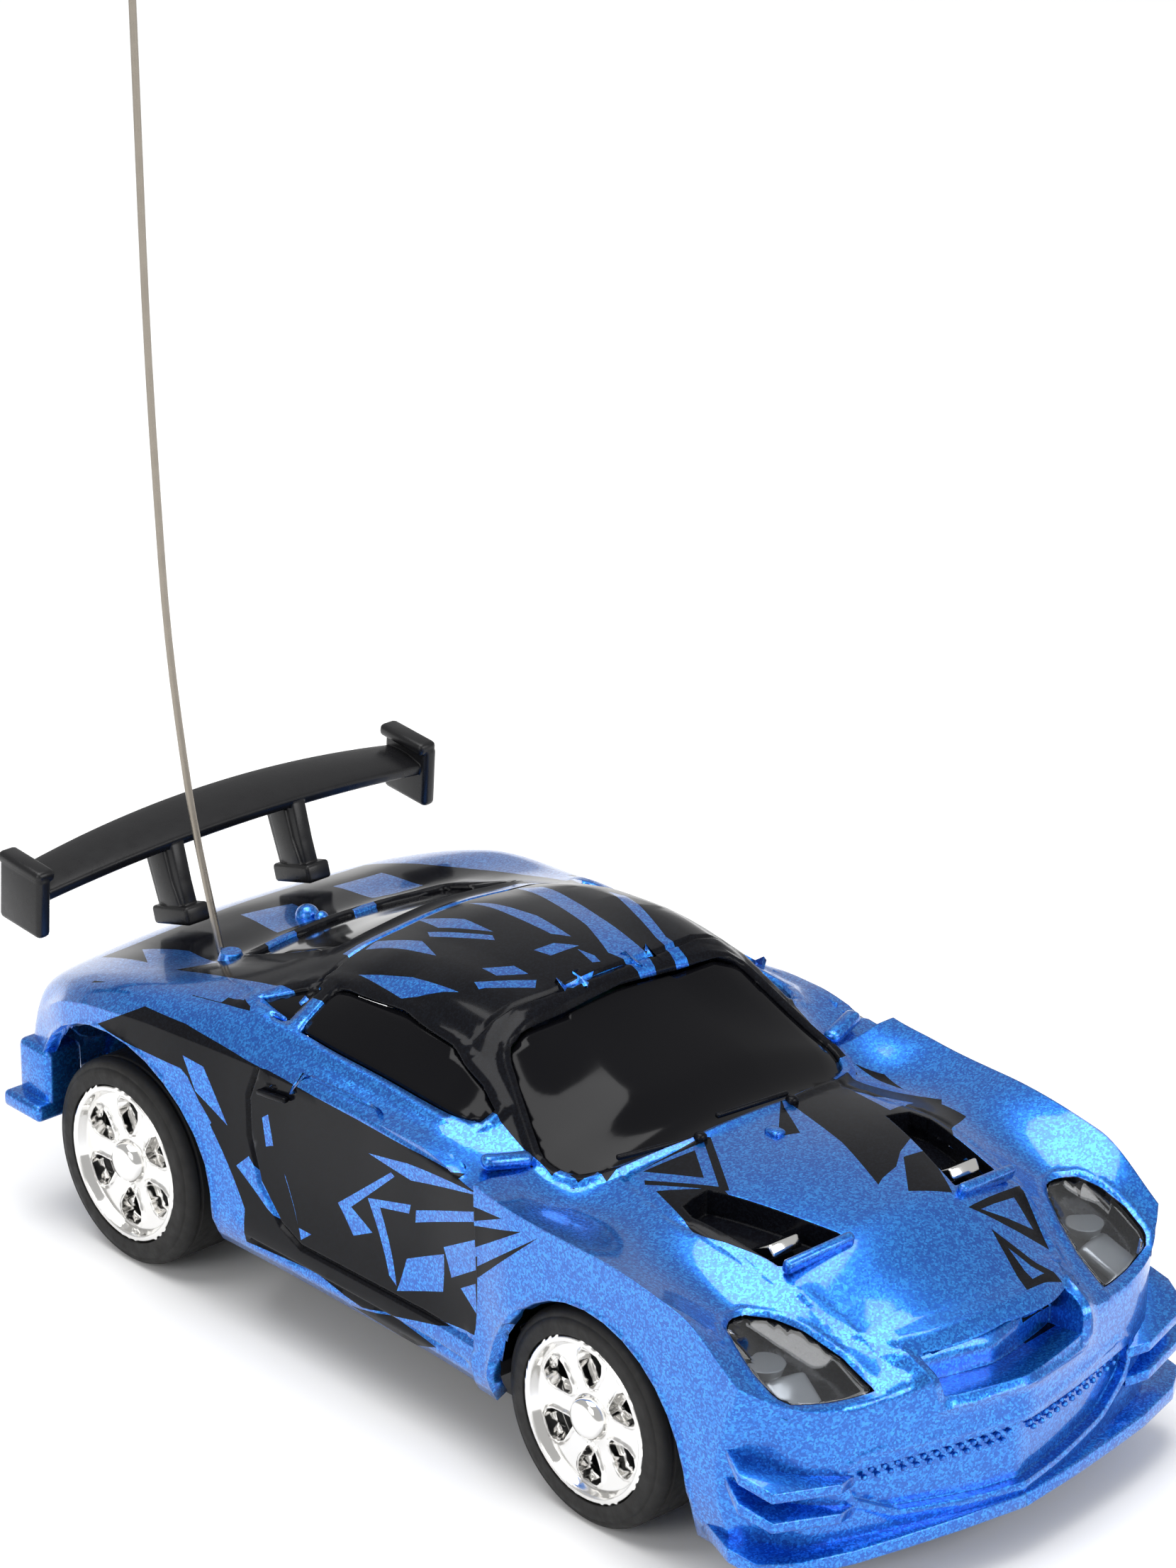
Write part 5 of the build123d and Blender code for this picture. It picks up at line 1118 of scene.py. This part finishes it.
# Half of one window between the spokes, as (radius, half width), and the lip raised around it.
rimWindow = {"count": 6, "lipWidth": 0.22, "lipHeight": 0.16, "thickness": 0.8,
             "half": [(1.95, 0.0), (2.1, 0.32), (2.9, 0.8), (3.5, 1.08), (4.05, 1.08), (4.45, 0.7),
                      (4.55, 0.0)]}

def rimDepth(radius):
    for a, b in zip(rimProfile, rimProfile[1:]):
        if radius <= b[0]:
            return a[1] + (b[1] - a[1]) * (radius - a[0]) / (b[0] - a[0])
    return rimProfile[-1][1]


def anyFace(face):
    return True


def rimFace():
    bm = bmesh.new()
    last = len(rimRings) - 1
    made = bmesh.ops.create_grid(bm, x_segments=wheel["turns"], y_segments=last, size=1.0)
    for vert in made["verts"]:
        radius = rimRings[round((vert.co.y * 0.5 + 0.5) * last)]
        angle = (vert.co.x * 0.5 + 0.5) * 2 * math.pi
        vert.co = Vector((0, math.cos(angle), math.sin(angle))) * radius
    bmesh.ops.remove_doubles(bm, verts=bm.verts, dist=mesh["merge"])
    bmesh.ops.dissolve_degenerate(bm, edges=bm.edges, dist=mesh["merge"])
    half, view = rimWindow["half"], (alongAxis, upAxis, anyFace)
    window = half + [(r, -t) for r, t in reversed(half[1:-1])]
    for spoke in range(rimWindow["count"]):
        angle = math.radians(30 + spoke * 360 / rimWindow["count"])
        outline = [(r * math.cos(angle) - t * math.sin(angle),
                    r * math.sin(angle) + t * math.cos(angle)) for r, t in window]
        for face in knife(bm, grown(outline, rimWindow["lipWidth"]), view):
            face.material_index = 2
        cutOpening(bm, outline, view)
    lifted = {vert for face in bm.faces if face.material_index == 2 for vert in face.verts
              if all(near.material_index == 2 for near in vert.link_faces)}
    for vert in bm.verts:
        lift = rimWindow["lipHeight"] if vert in lifted else 0.0
        vert.co.x = rimDepth(math.hypot(vert.co.y, vert.co.z)) + lift
    for face in bm.faces:
        face.material_index = 0
    bmesh.ops.recalc_face_normals(bm, faces=bm.faces)
    if sum(face.normal.x for face in bm.faces) < 0:
        bmesh.ops.reverse_faces(bm, faces=bm.faces)
    bmesh.ops.solidify(bm, geom=bm.faces[:], thickness=rimWindow["thickness"])
    return bm


def spinProfile(bm, profile, steps, material):
    verts = [bm.verts.new((x, radius, 0)) for x, radius in profile]
    edges = [bm.edges.new((a, b)) for a, b in zip(verts, verts[1:] + verts[:1])]
    before = set(bm.faces)
    bmesh.ops.spin(bm, geom=verts + edges, cent=(0, 0, 0), axis=(1, 0, 0), angle=2 * math.pi,
                   steps=steps, use_merge=True)
    made = [face for face in bm.faces if face not in before]
    bmesh.ops.recalc_face_normals(bm, faces=made)
    for face in made:
        face.material_index = material


def buildRim(width):
    bm = rimFace()
    inner = -(width - 0.15)
    barrel = [(-0.12, 5.5), (-0.12, 5.05), (-0.9, 4.85), (inner + 0.6, 4.85), (inner, 5.2),
              (inner, 5.5)]
    spinProfile(bm, barrel, wheel["turns"], 0)
    disc = [(-2.3, 4.95), (-2.3, 1.2), (-1.7, 1.2), (-1.7, 0.9), (-3.2, 0.9), (-3.2, 4.95)]
    spinProfile(bm, disc, wheel["turns"] // 2, 1)
    return bm


def buildTyre(width):
    bm = bmesh.new()
    half = [(0.0, wheel["rim"] + 0.02), (0.0, 6.2), (-0.06, 6.55), (-0.16, 6.62), (-0.16, 6.82),
            (-0.4, 7.08), (-0.75, 7.2), (-0.95, 7.2), (-1.0, 7.06), (-1.15, 7.06),
            (-1.2, wheel["tyre"])]
    spinProfile(bm, half + [(-width - x, r) for x, r in reversed(half)], wheel["turns"], 0)
    return bm


def placeWheel(bm, side, y):
    if side < 0:
        bmesh.ops.scale(bm, vec=(-1, 1, 1), verts=bm.verts)
        bmesh.ops.reverse_faces(bm, faces=bm.faces)
    bmesh.ops.translate(bm, vec=(wheel["face"] * side, y, car["axleHeight"]), verts=bm.verts)


for axle in ("front", "rear"):
    width, y = wheel[axle + "Width"], car[axle + "Axle"]
    parts = {"rim": (buildRim(width), "chrome_rim", ["chrome", "chassisPlastic"]),
             "tyre": (buildTyre(width), "tyre_rubber", ["tyreRubber"])}
    for sideName, side in sides.items():
        body = "front_wheel_" + sideName if axle == "front" else "rear_axle"
        for part, (source, slotName, materials) in parts.items():
            bm = source.copy()
            placeWheel(bm, side, y)
            makePiece(axle + part.capitalize() + sideName.capitalize(), bm, body,
                      materials, [f"{axle}_{part}_{sideName}"], sharp=50)
print("wheels ready")

# Finishes of the inner parts, which keep their CAD shape.
slotFinishes = {
    "chassis_plastic": "chassisPlastic", "copper_winding": "copper", "brass_parts": "brass",
    "plated_steel": "platedSteel", "spring_steel": "springSteel", "magnet_ferrite": "ferrite",
    "board_resin": "boardResin", "chip_resin": "chipResin", "capacitor_sleeve": "sleeve",
    "battery_sleeve": "cellSleeve", "red_wire": "redWire", "black_wire": "blackWire",
    "gear_nylon": "gearNylon",
}
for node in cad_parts.values():
    slotName = node.data.materials[0].name.split(".")[0] if node.data.materials else ""
    if slotName in slotFinishes:
        node.data.materials.clear()
        node.data.materials.append(finishes[slotFinishes[slotName]])


# The studio, in metres and degrees. Lights: size, power, place.
studio = {
    "target": (0.006743, 0.007487, 0.033947), "distance": 0.382, "azimuth": -41.55,
    "elevation": 23.28, "lens": 135.5, "floor": 6.0, "floorTone": 0.92, "room": 0.5,
    "aim": (0.0, 0.0, 0.015),
    "topSoftbox": ((0.45, 0.45), 2.9, (-0.05, 0.05, 0.55)),
    "frontSoftbox": ((0.35, 0.25), 1.3, (0.15, -0.5, 0.28)),
    "sideSoftbox": ((0.3, 0.3), 1.0, (-0.55, -0.05, 0.28)),
}


def addLight(name):
    size, power, place = studio[name]
    lamp = bpy.data.lights.new(name, "AREA")
    lamp.shape = "RECTANGLE"
    lamp.size, lamp.size_y = size
    lamp.energy = power
    light = bpy.data.objects.new(name, lamp)
    bpy.context.scene.collection.objects.link(light)
    light.location = place
    aim = Vector(studio["aim"]) - Vector(place)
    light.rotation_euler = aim.to_track_quat("-Z", "Y").to_euler()


def buildStudio():
    bm = bmesh.new()
    bmesh.ops.create_grid(bm, x_segments=1, y_segments=1, size=studio["floor"])
    data = bpy.data.meshes.new("studioFloor")
    bm.to_mesh(data)
    bm.free()
    floor = bpy.data.objects.new("studioFloor", data)
    bpy.context.scene.collection.objects.link(floor)
    tone = (studio["floorTone"],) * 3 + (1,)
    pale, _, _ = newMaterial("paleFloor", Base_Color=tone, Roughness=0.9)
    data.materials.append(pale)
    world = bpy.data.worlds.new("softRoom")
    world.use_nodes = True
    background = world.node_tree.nodes["Background"].inputs
    background["Color"].default_value = (1, 1, 1, 1)
    background["Strength"].default_value = studio["room"]
    bpy.context.scene.world = world
    bpy.context.scene.view_settings.view_transform = "Standard"
    for name in ("topSoftbox", "frontSoftbox", "sideSoftbox"):
        addLight(name)
    azimuth, elevation = math.radians(studio["azimuth"]), math.radians(studio["elevation"])
    level = math.cos(elevation)
    back = Vector((math.sin(azimuth) * level, -math.cos(azimuth) * level, math.sin(elevation)))
    camera = bpy.data.objects.new("studioCamera", bpy.data.cameras.new("studioCamera"))
    bpy.context.scene.collection.objects.link(camera)
    camera.data.lens = studio["lens"]
    camera.data.sensor_width = 36.0
    camera.data.clip_start = 0.01
    camera.location = Vector(studio["target"]) + back * studio["distance"]
    camera.rotation_euler = (-back).to_track_quat("-Z", "Y").to_euler()
    bpy.context.scene.camera = camera


buildStudio()
